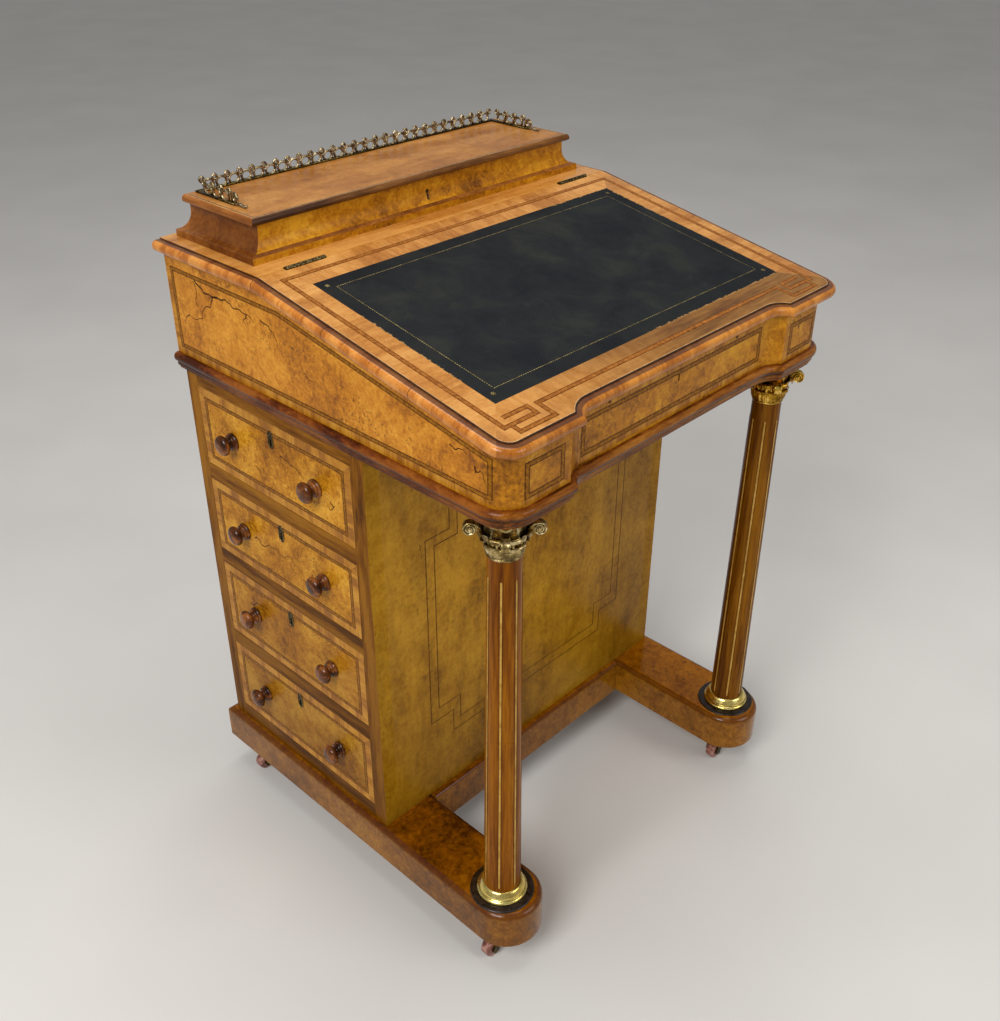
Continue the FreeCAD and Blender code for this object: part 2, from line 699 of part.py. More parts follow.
def drawer_knobs(low, high):
    """Both knobs of a drawer."""
    knobs = []
    for place in knob_places(low, high):
        solid = knob()
        solid.translate(place)
        knobs.append(solid)
    return knobs


def drawer_escutcheon(high):
    """Keyhole lining on a drawer face."""
    plate = escutcheon_blank().cut(side_keyhole(ESCUTCHEON_DEPTH))
    plate.translate(keyhole_place(high))
    return plate


def drawer_lock(high):
    """Lock case on the inside of a drawer front."""
    place = keyhole_place(high)
    x0 = -HALF_PEDESTAL + FRONT_THICKNESS
    z1 = place.z + LOCK_HEIGHT / 2 - 2
    return block(x0, x0 + LOCK_THICKNESS, place.y - LOCK_WIDTH / 2, place.y + LOCK_WIDTH / 2,
                 z1 - LOCK_HEIGHT, z1)


def false_drawer(low, high):
    """False front with the same knob holes and keyhole as a real one, on the right."""
    front = false_front(low, high, 0)
    for place in knob_places(low, high):
        front = front.cut(mirrored(knob_hole(place)))
    lining = escutcheon_blank()
    lining.translate(keyhole_place(high))
    return front.cut(mirrored(lining))


# ---- runners and cross rails ----

def castor_places():
    """Pivot centres of the four castors, by name."""
    front = -SLEDGE_FRONT + CASTOR_INSET_FRONT
    rear = Y_SLEDGE_REAR - CASTOR_INSET_REAR
    return {
        "front_left": Vector(-CASTOR_X, front, 0),
        "front_right": Vector(CASTOR_X, front, 0),
        "rear_left": Vector(-CASTOR_X, rear, 0),
        "rear_right": Vector(CASTOR_X, rear, 0),
    }


def runner_left():
    """Sledge runner with a half-round front end and a rounded top edge."""
    radius = SLEDGE_WIDTH / 2
    x0 = -SLEDGE_OUTSIDE
    centre_y = -SLEDGE_FRONT + radius
    foot = block(x0, x0 + SLEDGE_WIDTH, centre_y, Y_SLEDGE_REAR, Z_SLEDGE, Z_PEDESTAL)
    nose = Part.makeCylinder(radius, RUNNER_HEIGHT, Vector(x0 + radius, centre_y, Z_SLEDGE))
    runner = foot.fuse(nose).removeSplitter()
    runner = rounded(runner, Z_PEDESTAL, SLEDGE_TOP_RADIUS)
    for place in castor_places().values():
        if place.x < 0:
            hole = Vector(place.x, place.y, Z_SLEDGE)
            runner = runner.cut(rod(CASTOR_SOCKET_RADIUS, CASTOR_SOCKET_DEPTH, hole, Vector(0, 0, 1)))
    return runner


def cross_rail(front):
    """Rail between the runners, its upper front edge rounded."""
    half = SLEDGE_OUTSIDE - SLEDGE_WIDTH
    return block(-half, half, front, front + CROSS_RAIL_THICKNESS, Z_SLEDGE, Z_PEDESTAL)


def front_cross_rail():
    """Front rail, standing a little ahead of the pedestal."""
    front = Y_PEDESTAL - CROSS_RAIL_PROJECTION
    rail = cross_rail(front)
    edges = []
    for edge in level_edges(rail, Z_PEDESTAL):
        if all(abs(vertex.Point.y - front) < 0.001 for vertex in edge.Vertexes):
            edges.append(edge)
    return rail.makeFillet(CROSS_RAIL_ROUND, edges)


def rear_cross_rail():
    """Rear rail, flush with the back."""
    return cross_rail(Y_BACK - CROSS_RAIL_THICKNESS)


# ---- columns ----

def column_shaft():
    """Tapering shaft with a spigot at each end."""
    z_disc = Z_PEDESTAL + DISC_HEIGHT
    z_foot = z_disc + BASE_HEIGHT
    z_head = Z_SOFFIT - CAPITAL_HEIGHT
    profile = [
        (0, Z_PEDESTAL), (SPIGOT_RADIUS, Z_PEDESTAL), (SPIGOT_RADIUS, z_foot), (SHAFT_FOOT_RADIUS, z_foot),
        (SHAFT_HEAD_RADIUS, z_head), (SPIGOT_RADIUS, z_head), (SPIGOT_RADIUS, Z_SOFFIT), (0, Z_SOFFIT),
    ]
    return turned(profile, Vector(COLUMN_X, COLUMN_Y, 0))


def column_disc():
    """Dark disc under the brass base."""
    disc = Part.makeCylinder(DISC_RADIUS, DISC_HEIGHT, Vector(COLUMN_X, COLUMN_Y, Z_PEDESTAL))
    return disc.cut(rod(SPIGOT_RADIUS, DISC_HEIGHT, Vector(COLUMN_X, COLUMN_Y, Z_PEDESTAL), Vector(0, 0, 1)))


def column_base():
    """Brass ring: a large round below, a hollow, a smaller round above."""
    z = Z_PEDESTAL + DISC_HEIGHT
    low = BASE_RADIUS
    high = BASE_UPPER_RADIUS
    profile = [
        (SPIGOT_RADIUS, z), (low - 1.5, z), (low, z + 1.5), (low, z + 3.5), (low - 1.5, z + 5),
        (high - 3.5, z + 6), (high - 3.5, z + 7), (high - 0.8, z + 7.6), (high, z + 8.8),
        (high - 0.8, z + 10.2), (high - 2.5, z + BASE_HEIGHT), (SPIGOT_RADIUS, z + BASE_HEIGHT),
    ]
    return turned(profile, Vector(COLUMN_X, COLUMN_Y, 0))


def capital_bell():
    """Turned body of the capital: astragal, two tiers of leaves, bell."""
    z = Z_SOFFIT - CAPITAL_HEIGHT
    neck = LEAF_NECK_RADIUS
    z_abacus = Z_SOFFIT - ABACUS_HEIGHT
    edge = 1.0
    profile = [
        (SPIGOT_RADIUS, z), (ASTRAGAL_RADIUS - edge, z), (ASTRAGAL_RADIUS, z + edge),
        (ASTRAGAL_RADIUS, z + ASTRAGAL_HEIGHT - edge), (ASTRAGAL_RADIUS - edge, z + ASTRAGAL_HEIGHT),
        (LEAF_RADIUS - edge, z + LEAF_FOOT - edge), (LEAF_RADIUS, z + LEAF_FOOT + edge),
        (LEAF_RADIUS, z + LEAF_TIP - edge), (LEAF_RADIUS - edge, z + LEAF_TIP), (neck, z + LEAF_WAIST),
        (UPPER_LEAF_RADIUS, z + UPPER_LEAF_TIP - edge), (UPPER_LEAF_RADIUS, z + UPPER_LEAF_TIP),
        (LEAF_RADIUS, z + BELL_FOOT), (BELL_RADIUS, z + BELL_RIM), (BELL_RADIUS - 2, z_abacus),
        (SPIGOT_RADIUS, z_abacus),
    ]
    return turned(profile, Vector(0, 0, 0))


def capital():
    """Capital with corner volutes under a square abacus with hollowed sides."""
    shape = capital_bell()
    half = ABACUS_SIZE / 2
    z_abacus = Z_SOFFIT - ABACUS_HEIGHT
    abacus = block(-half, half, -half, half, z_abacus, Z_SOFFIT)
    hollow_radius = 2.2 * half
    hollow_centre = half + math.sqrt(hollow_radius ** 2 - (0.75 * half) ** 2)
    for turn in range(4):
        angle = math.radians(90 * turn)
        centre = Vector(hollow_centre * math.cos(angle), hollow_centre * math.sin(angle), z_abacus)
        abacus = abacus.cut(rod(hollow_radius, ABACUS_HEIGHT, centre, Vector(0, 0, 1)))
    shape = shape.fuse(abacus)
    for turn in range(4):
        angle = math.radians(45 + 90 * turn)
        out = Vector(math.cos(angle), math.sin(angle), 0)
        along = Vector(-math.sin(angle), math.cos(angle), 0)
        centre = out * VOLUTE_REACH + Vector(0, 0, Z_SOFFIT - VOLUTE_DROP)
        volute = rod(VOLUTE_RADIUS, VOLUTE_WIDTH, centre - along * (VOLUTE_WIDTH / 2), along)
        stalk_start = out * (VOLUTE_REACH - 2) + Vector(0, 0, z_abacus + 1)
        stalk = rod(VOLUTE_WIDTH / 2, VOLUTE_DROP - ABACUS_HEIGHT + 1, stalk_start, Vector(0, 0, -1))
        shape = shape.fuse([volute, stalk])
    bore = rod(SPIGOT_RADIUS, CAPITAL_HEIGHT, Vector(0, 0, Z_SOFFIT - CAPITAL_HEIGHT), Vector(0, 0, 1))
    shape = shape.cut(bore)
    shape.translate(Vector(COLUMN_X, COLUMN_Y, 0))
    return shape


# ---- stationery box ----

def cove_profile(inner, depth, sign, middle):
    """Section of the plinth and cove on one side: (distance, height) pairs outward from the wall."""
    points = [(inner, 0.0), (inner + depth, 0.0), (inner + depth, PLINTH_HEIGHT),
              (inner + depth - COVE_LIP, PLINTH_HEIGHT + COVE_LIP / 2)]
    reach = depth - COVE_LIP
    rise = COVE_HEIGHT
    z0 = PLINTH_HEIGHT + COVE_LIP / 2
    for step in range(1, 9):
        angle = math.radians(90 * step / 8)
        points.append((inner + reach * (1 - math.sin(angle)), z0 + rise * (1 - math.cos(angle))))
    return [(middle + sign * distance, Z_TOP + height) for distance, height in points]


def box_plinth():
    """Plinth and cove in four mitred lengths round the foot of the stationery box, cut for the keyhole."""
    middle_y = (Y_BOX + Y_BOX_REAR) / 2
    half_y = (Y_BOX_REAR - Y_BOX) / 2
    span = 2 * PLINTH_HALF_WIDTH
    lengths = []
    for sign in (-1, 1):
        section = cove_profile(BOX_HALF, COVE_SIDE, sign, 0)
        points = [Vector(x, middle_y - span, z) for x, z in section]
        lengths.append(extruded(points, Vector(0, 2 * span, 0)))
    for sign, depth in ((-1, COVE_FRONT), (1, COVE_REAR)):
        section = cove_profile(half_y, depth, sign, middle_y)
        points = [Vector(-span, y, z) for y, z in section]
        lengths.append(extruded(points, Vector(2 * span, 0, 0)))
    front_back = [Vector(-BOX_HALF, Y_BOX, Z_TOP), Vector(BOX_HALF, Y_BOX, Z_TOP),
                  Vector(PLINTH_HALF_WIDTH, Y_PLINTH, Z_TOP), Vector(-PLINTH_HALF_WIDTH, Y_PLINTH, Z_TOP)]
    rear = [Vector(-BOX_HALF, Y_BOX_REAR, Z_TOP), Vector(BOX_HALF, Y_BOX_REAR, Z_TOP),
            Vector(PLINTH_HALF_WIDTH, Y_PLINTH_REAR, Z_TOP), Vector(-PLINTH_HALF_WIDTH, Y_PLINTH_REAR, Z_TOP)]
    side = [Vector(BOX_HALF, Y_BOX, Z_TOP), Vector(PLINTH_HALF_WIDTH, Y_PLINTH, Z_TOP),
            Vector(PLINTH_HALF_WIDTH, Y_PLINTH_REAR, Z_TOP), Vector(BOX_HALF, Y_BOX_REAR, Z_TOP)]
    up = Vector(0, 0, BOX_HEIGHT)
    side_zone = extruded(side, up)
    zones = [mirrored(side_zone), side_zone, extruded(front_back, up), extruded(rear, up)]
    left, right, front, back = [length.common(zone) for length, zone in zip(lengths, zones)]
    keyhole = keyhole_cutter(COVE_FRONT)
    keyhole.translate(Vector(0, Y_PLINTH, Z_TOP + BOX_KEYHOLE_HEIGHT))
    return [left, right, front.cut(keyhole), back]


def box_walls():
    """Front, back and ends of the stationery box."""
    inside = BOX_HALF - BOX_WALL
    front = block(-BOX_HALF, BOX_HALF, Y_BOX, Y_BOX + BOX_WALL, Z_TOP, Z_BOX_TOP)
    keyhole = keyhole_cutter(BOX_WALL)
    keyhole.translate(Vector(0, Y_BOX, Z_TOP + BOX_KEYHOLE_HEIGHT))
    front = front.cut(keyhole)
    back = block(-BOX_HALF, BOX_HALF, Y_BOX_REAR - BOX_WALL, Y_BOX_REAR, Z_TOP, Z_BOX_TOP)
    for cutter in box_hinge_slots():
        back = back.cut(cutter)
    end = block(inside, BOX_HALF, Y_BOX + BOX_WALL, Y_BOX_REAR - BOX_WALL, Z_TOP, Z_BOX_TOP)
    return [front, back] + at_both_ends(end)


def box_dividers():
    """Two upright partitions across the stationery box."""
    divider = block(BOX_DIVIDER_X, BOX_DIVIDER_X + BOX_DIVIDER, Y_BOX + BOX_WALL, Y_BOX_REAR - BOX_WALL,
                    Z_TOP, Z_TOP + BOX_DIVIDER_HEIGHT)
    return at_both_ends(divider)


def box_lock():
    """Lock case on the inside of the box front."""
    height = BOX_DIVIDER_HEIGHT - 4
    z1 = Z_BOX_TOP - 2
    return block(-LOCK_WIDTH / 2, LOCK_WIDTH / 2, Y_BOX + BOX_WALL, Y_BOX + BOX_WALL + LOCK_THICKNESS,
                 z1 - height, z1)


def box_hinge_axis_y():
    """Hinge axis just behind the rear faces of box and lid."""
    return Y_BOX_REAR + HINGE_BARREL_RADIUS


def box_hinge_slots():
    """Beds for the hinge leaves in the rear faces of the box wall and its lid."""
    beds = []
    for side in (-1, 1):
        x0 = side * BOX_HINGE_X - BOX_HINGE_LENGTH / 2
        beds.append(block(x0, x0 + BOX_HINGE_LENGTH, Y_BOX_REAR - HINGE_LEAF, Y_BOX_REAR,
                          Z_BOX_LID - BOX_HINGE_LEAF_HEIGHT, Z_BOX_LID + BOX_HINGE_LEAF_HEIGHT))
    return beds


def box_hinge(x):
    """Hinge with one leaf let into the box wall and one into the lid's rear edge."""
    third = BOX_HINGE_LENGTH / 3
    x0 = x - BOX_HINGE_LENGTH / 2
    y = box_hinge_axis_y()
    z = Z_BOX_LID - LID_REST_GAP / 2
    gap = SEAM_GAP / 2
    axis = Vector(1, 0, 0)
    room = HINGE_BARREL_RADIUS + HINGE_CLEARANCE
    fixed_leaf = block(x0, x0 + BOX_HINGE_LENGTH, Y_BOX_REAR - HINGE_LEAF, Y_BOX_REAR,
                       Z_BOX_LID - BOX_HINGE_LEAF_HEIGHT, z - gap)
    moving_leaf = block(x0, x0 + BOX_HINGE_LENGTH, Y_BOX_REAR - HINGE_LEAF, Y_BOX_REAR,
                        z + gap, Z_BOX_LID + BOX_HINGE_LEAF_HEIGHT)
    web_low = block(x0, x0 + BOX_HINGE_LENGTH, Y_BOX_REAR - HINGE_LEAF, y, z - HINGE_BARREL_RADIUS, z - gap)
    web_high = block(x0, x0 + BOX_HINGE_LENGTH, Y_BOX_REAR - HINGE_LEAF, y, z + gap, z + HINGE_BARREL_RADIUS)
    ends = [rod(room, third + gap, Vector(x0 - gap, y, z), axis),
            rod(room, third + gap, Vector(x0 + 2 * third, y, z), axis)]
    middle_room = rod(room, third, Vector(x0 + third, y, z), axis)
    fixed = fixed_leaf.fuse(web_low).cut(middle_room)
    fixed = fixed.fuse([
        rod(HINGE_BARREL_RADIUS, third - gap, Vector(x0, y, z), axis),
        rod(HINGE_BARREL_RADIUS, third - gap, Vector(x0 + 2 * third + gap, y, z), axis),
        rod(HINGE_PIN_RADIUS, BOX_HINGE_LENGTH, Vector(x0, y, z), axis),
    ])
    moving = moving_leaf.fuse(web_high)
    for end in ends:
        moving = moving.cut(end)
    moving = moving.fuse(rod(HINGE_BARREL_RADIUS, third - 2 * gap, Vector(x0 + third + gap, y, z), axis))
    bore = rod(HINGE_PIN_RADIUS + HINGE_PIN_CLEARANCE, BOX_HINGE_LENGTH, Vector(x0, y, z), axis)
    return fixed, moving.cut(bore)


def box_lid():
    """Lid of the stationery box: rounded front and ends, square rear edge."""
    half = BOX_HALF + BOX_LID_SIDE_OVERHANG
    lid = block(-half, half, Y_BOX - BOX_LID_OVERHANG, Y_BOX_REAR, Z_BOX_LID, Z_BOX_LID_TOP)
    lid = rounded(lid, Z_BOX_LID_TOP, BOX_LID_TOP_RADIUS, Y_BOX_REAR)
    lid = rounded(lid, Z_BOX_LID, BOX_LID_UNDER_RADIUS, Y_BOX_REAR)
    for cutter in box_hinge_slots():
        lid = lid.cut(cutter)
    return lid


def gallery_run(length, loops):
    """One straight run of gallery along +X from the origin: a flat strip with standing loops."""
    top = GALLERY_HEIGHT
    strip = block(0, length, -GALLERY_STRIP / 2, GALLERY_STRIP / 2, 0, GALLERY_STRIP_THICKNESS)
    half = GALLERY_THICKNESS / 2
    kerb = block(0, length, -half, half, 0, GALLERY_STRIP_THICKNESS + 2)
    centre_z = top - LOOP_RADIUS
    solids = []
    holes = []
    spare = (length - (loops - 1) * LOOP_PITCH) / 2
    for index in range(loops):
        x = spare + index * LOOP_PITCH
        solids.append(rod(LOOP_RADIUS, GALLERY_THICKNESS, Vector(x, -half, centre_z), Vector(0, 1, 0)))
        solids.append(block(x - 1.2, x + 1.2, -half, half, 0, centre_z - LOOP_HOLE_RADIUS - 0.5))
        holes.append(rod(LOOP_HOLE_RADIUS, GALLERY_THICKNESS, Vector(x, -half, centre_z), Vector(0, 1, 0)))
        if index < loops - 1:
            link_x = x + LOOP_RADIUS - 0.6
            link_end = x + LOOP_PITCH - LOOP_RADIUS + 0.6
            solids.append(block(link_x, link_end, -half, half, centre_z - 1, centre_z + 1))
    run = strip.fuse([kerb] + solids)
    for hole in holes:
        run = run.cut(hole)
    return run


def gallery_scroll():
    """Tapering end of a gallery arm along +X from the origin."""
    half = GALLERY_THICKNESS / 2
    points = [
        Vector(0, -half, 0), Vector(SCROLL_LENGTH, -half, 0), Vector(SCROLL_LENGTH, -half, 2.4),
        Vector(SCROLL_LENGTH * 0.6, -half, 4.2), Vector(SCROLL_LENGTH * 0.25, -half, 8), Vector(0, -half, 11),
    ]
    wedge = extruded(points, Vector(0, GALLERY_THICKNESS, 0))
    strip = block(0, SCROLL_LENGTH, -GALLERY_STRIP / 2, GALLERY_STRIP / 2, 0, GALLERY_STRIP_THICKNESS)
    return wedge.fuse(strip)


def gallery():
    """Pierced gallery on the lid: rear run and two forward arms."""
    rear_y = Y_BOX_REAR - GALLERY_REAR_INSET
    rear_length = 2 * GALLERY_HALF_WIDTH
    rear = gallery_run(rear_length, int(rear_length / LOOP_PITCH))
    rear.translate(Vector(-GALLERY_HALF_WIDTH, rear_y, Z_BOX_LID_TOP))
    arm_length = GALLERY_ARM - SCROLL_LENGTH
    arm = gallery_run(arm_length, int(arm_length / LOOP_PITCH))
    scroll = gallery_scroll()
    scroll.translate(Vector(arm_length, 0, 0))
    arm = arm.fuse(scroll)
    arm.rotate(Vector(0, 0, 0), Vector(0, 0, 1), -90)
    arm.translate(Vector(GALLERY_HALF_WIDTH, rear_y, Z_BOX_LID_TOP))
    return rear.fuse([arm, mirrored(arm)])


# ---- castors ----

def castor_plate(place):
    """Plate and socket under a runner."""
    z = CASTOR_HEIGHT - CASTOR_PLATE
    base = Vector(place.x, place.y, z)
    up = Vector(0, 0, 1)
    plate = rod(CASTOR_PLATE_RADIUS, CASTOR_PLATE, base, up)
    socket = rod(CASTOR_SOCKET_RADIUS, CASTOR_PLATE + CASTOR_SOCKET_DEPTH, base, up)
    bore = rod(CASTOR_STEM_RADIUS + CASTOR_CLEARANCE, CASTOR_PLATE + CASTOR_SOCKET_DEPTH, base, up)
    return plate.fuse(socket).cut(bore)


def castor_fork(place):
    """Crown, stem, two cheeks trailing to -X, and the axle between them."""
    up = Vector(0, 0, 1)
    z_crown = CASTOR_HEIGHT - CASTOR_PLATE - CASTOR_RUN_GAP - CASTOR_CROWN
    crown = rod(CASTOR_CROWN_RADIUS, CASTOR_CROWN, Vector(0, 0, z_crown), up)
    stem_length = CASTOR_CROWN + CASTOR_RUN_GAP + CASTOR_PLATE + CASTOR_SOCKET_DEPTH - CASTOR_RUN_GAP
    stem = rod(CASTOR_STEM_RADIUS, stem_length, Vector(0, 0, z_crown), up)
    inner = WHEEL_WIDTH / 2 + WHEEL_SIDE_GAP
    axle_x = -CASTOR_TRAIL
    boss = AXLE_RADIUS + 3
    cheeks = []
    for y0 in (-inner - CHEEK, inner):
        points = [
            Vector(CASTOR_CROWN_RADIUS - 3, y0, z_crown + CASTOR_CROWN),
            Vector(-CASTOR_CROWN_RADIUS, y0, z_crown + CASTOR_CROWN),
            Vector(axle_x - boss, y0, WHEEL_RADIUS), Vector(axle_x + boss, y0, WHEEL_RADIUS),
            Vector(CASTOR_CROWN_RADIUS - 3, y0, z_crown),
        ]
        cheek = extruded(points, Vector(0, CHEEK, 0))
        eye = rod(boss, CHEEK, Vector(axle_x, y0, WHEEL_RADIUS), Vector(0, 1, 0))
        cheeks.append(cheek.fuse(eye))
    bridge = block(-CASTOR_CROWN_RADIUS, CASTOR_CROWN_RADIUS - 3, -inner - CHEEK, inner + CHEEK,
                   z_crown, z_crown + CASTOR_CROWN)
    axle_base = Vector(axle_x, -inner - CHEEK, WHEEL_RADIUS)
    axle = rod(AXLE_RADIUS, 2 * (inner + CHEEK), axle_base, Vector(0, 1, 0))
    fork = crown.fuse([stem, bridge, axle] + cheeks)
    fork.translate(place)
    return fork


def castor_wheel(place):
    """Small wheel with rounded edges."""
    base = Vector(-CASTOR_TRAIL, -WHEEL_WIDTH / 2, WHEEL_RADIUS)
    wheel = rod(WHEEL_RADIUS, WHEEL_WIDTH, base, Vector(0, 1, 0))
    rims = [edge for edge in wheel.Edges if len(edge.Vertexes) == 1]
    wheel = wheel.makeFillet(WHEEL_EDGE, rims)
    bore = rod(AXLE_RADIUS + CASTOR_CLEARANCE, WHEEL_WIDTH, base, Vector(0, 1, 0))
    wheel = wheel.cut(bore)
    wheel.translate(place)
    return wheel


# ---- write every node ----

def write_feet():
    runner = runner_left()
    save("runner_left", [runner])
    save("runner_right", [mirrored(runner)])
    save("front_cross_rail", [front_cross_rail()])
    save("rear_cross_rail", [rear_cross_rail()])
    places = castor_places()
    save("castor_plates", [castor_plate(place) for place in places.values()])
    for name, place in places.items():
        save("castor_fork_" + name, [castor_fork(place)])
        save("castor_wheel_" + name, [castor_wheel(place)])


def write_pedestal():
    save("pedestal_front_panel", [pedestal_front_panel()])
    save("pedestal_back_panel", [pedestal_back_panel()])
    save("pedestal_bottom_board", [pedestal_bottom_board()])
    save("drawer_side_frame", drawer_side_frame())
    save("dust_frames", dust_frames())
    save("right_side_panel", [right_side_panel()])


def write_drawers():
    levels = opening_levels()
    count = len(levels)
    false_fronts = []
    false_knobs = []
    false_linings = []
    for index, (low, high) in enumerate(levels):
        name = "drawer_" + str(count - index)
        save(name, drawer(low, high))
        save(name + "_knobs", drawer_knobs(low, high))
        save(name + "_lock", [drawer_lock(high), drawer_escutcheon(high)])
        false_fronts.append(false_drawer(low, high))
        false_knobs.extend(mirrored(solid) for solid in drawer_knobs(low, high))
        false_linings.append(mirrored(drawer_escutcheon(high)))
    save("false_drawer_fronts", false_fronts)
    save("false_drawer_knobs", false_knobs)
    save("false_escutcheons", false_linings)


def write_columns():
    shaft = column_shaft()
    save("column_left", [mirrored(shaft)])
    save("column_right", [shaft])
    top = capital()
    save("column_capital_left", [mirrored(top)])
    save("column_capital_right", [top])
    save("column_bases", at_both_ends(column_base()))
    save("column_discs", at_both_ends(column_disc()))


def write_desk_box():
    side = desk_side()
    save("desk_side_left", [mirrored(side)])
    save("desk_side_right", [side])
    save("desk_front", [desk_front()])
    save("desk_back", [desk_back()])
    save("desk_bottom", [moulding_opening()])
    save("lower_moulding", [lower_moulding()])
    save("top_board", [top_board()])
    save("lid_locks", [desk_lock(), box_lock()])
    fixed, moving = desk_hinge()
    save("desk_hinge_leaves", at_both_ends(fixed))
    save("slope_lid", [slope_lid()])
    save("writing_leather", [writing_leather()])
    save("slope_lid_hinge_leaves", at_both_ends(moving))


def write_stationery_box():
    save("box_plinth", box_plinth())
    save("box_walls", box_walls())
    save("box_dividers", box_dividers())
    fixed, moving = box_hinge(BOX_HINGE_X)
    save("box_hinge_leaves", at_both_ends(fixed))
    save("box_lid", [box_lid()])
    save("box_lid_hinge_leaves", at_both_ends(moving))
    save("gallery", [gallery()])


write_feet()
write_pedestal()
write_drawers()
write_columns()
write_desk_box()
write_stationery_box()
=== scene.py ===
"""Finish of the davenport desk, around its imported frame.

Lengths are in metres. X runs along the front of the desk, the sitter's side is -Y, and Z is up.
"""
import json
import random
from math import asin, ceil, copysign, cos, dist, pi, radians, sin, sqrt, tan

import bmesh
import bpy
from mathutils import Matrix, Vector


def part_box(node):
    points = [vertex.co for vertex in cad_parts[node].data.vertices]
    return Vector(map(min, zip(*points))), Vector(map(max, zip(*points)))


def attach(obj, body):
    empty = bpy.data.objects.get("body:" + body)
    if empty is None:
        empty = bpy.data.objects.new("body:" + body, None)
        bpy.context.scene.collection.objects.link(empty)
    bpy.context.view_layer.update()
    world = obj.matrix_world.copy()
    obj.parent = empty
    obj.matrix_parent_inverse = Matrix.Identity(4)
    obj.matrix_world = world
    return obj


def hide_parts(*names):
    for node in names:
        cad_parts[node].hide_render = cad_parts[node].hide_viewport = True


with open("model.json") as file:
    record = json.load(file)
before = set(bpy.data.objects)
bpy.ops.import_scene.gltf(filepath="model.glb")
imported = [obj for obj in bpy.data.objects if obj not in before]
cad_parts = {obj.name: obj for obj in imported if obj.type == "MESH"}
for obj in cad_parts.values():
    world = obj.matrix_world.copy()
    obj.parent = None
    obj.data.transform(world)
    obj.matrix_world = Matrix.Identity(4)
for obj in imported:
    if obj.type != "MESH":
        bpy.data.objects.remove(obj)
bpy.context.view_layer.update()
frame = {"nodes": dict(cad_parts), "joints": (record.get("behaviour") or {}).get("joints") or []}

# ---- sizes that the finish shares with the frame ----
RIGHT, BACK, UP = Vector((1, 0, 0)), Vector((0, 1, 0)), Vector((0, 0, 1))
SLOPE = radians(10.2)
SIDE_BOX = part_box("desk_side_left")
TOP_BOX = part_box("top_board")
BOX_LID_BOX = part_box("box_lid")
PEDESTAL_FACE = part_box("pedestal_front_panel")[0].y
FALSE_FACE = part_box("false_drawer_fronts")[1].x
HALF_DESK = -SIDE_BOX[0].x
Y_BACK = SIDE_BOX[1].y
Y_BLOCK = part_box("desk_front")[0].y
Z_DESK = SIDE_BOX[0].z
Z_WALL_TOP = SIDE_BOX[1].z
SEAM = Vector(next(joint for joint in frame["joints"] if joint["name"] == "slope_lid_hinge")["pos_m"])
LID_LENGTH = (SEAM.y - Y_BLOCK) / cos(SLOPE)
FRONT_RECESS = 0.013
BLOCK_WIDTH = 0.087
RECESS_RUN = 0.030
RECESS_RADIUS = (RECESS_RUN ** 2 + FRONT_RECESS ** 2) / (2 * FRONT_RECESS)
CORNER_RADIUS = 0.030
LID_CORNER = 0.012
TOP_OVERHANG = 0.0015
BASE_HEIGHT = 0.0165
CAPITAL_HEIGHT = 0.054
LEATHER_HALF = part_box("writing_leather")[1].x
LEATHER_REAR = 0.039
LEATHER_FRONT = 0.298
NOSE_JOINTS = (0.0005, 0.111, 0.234)
DRAWERS = range(1, 5)

# ---- lie of the strips ----
SINK = 0.0004
CROSSBAND_RISE = 0.00005
VEIN_RISE = 0.00006
BAND_RISE = 0.0001
CORE_RISE = 0.00014
STRING_RISE = 0.00028


# ---- shader nodes ----

MATERIALS = {}
ALONG_X = (0.1, 1, 1)
ALONG_Y = (1, 0.1, 1)


def tint(red, green, blue):
    """Colour of a surface as seen on a screen, 0 to 255, turned to the shader's linear values."""
    linear = []
    for value in (red, green, blue):
        share = value / 255
        linear.append(share / 12.92 if share <= 0.04045 else ((share + 0.055) / 1.055) ** 2.4)
    return (*linear, 1.0)


def tones(*colours):
    """Tints of one stuff, from dark to light."""
    return [tint(*colour) for colour in colours]


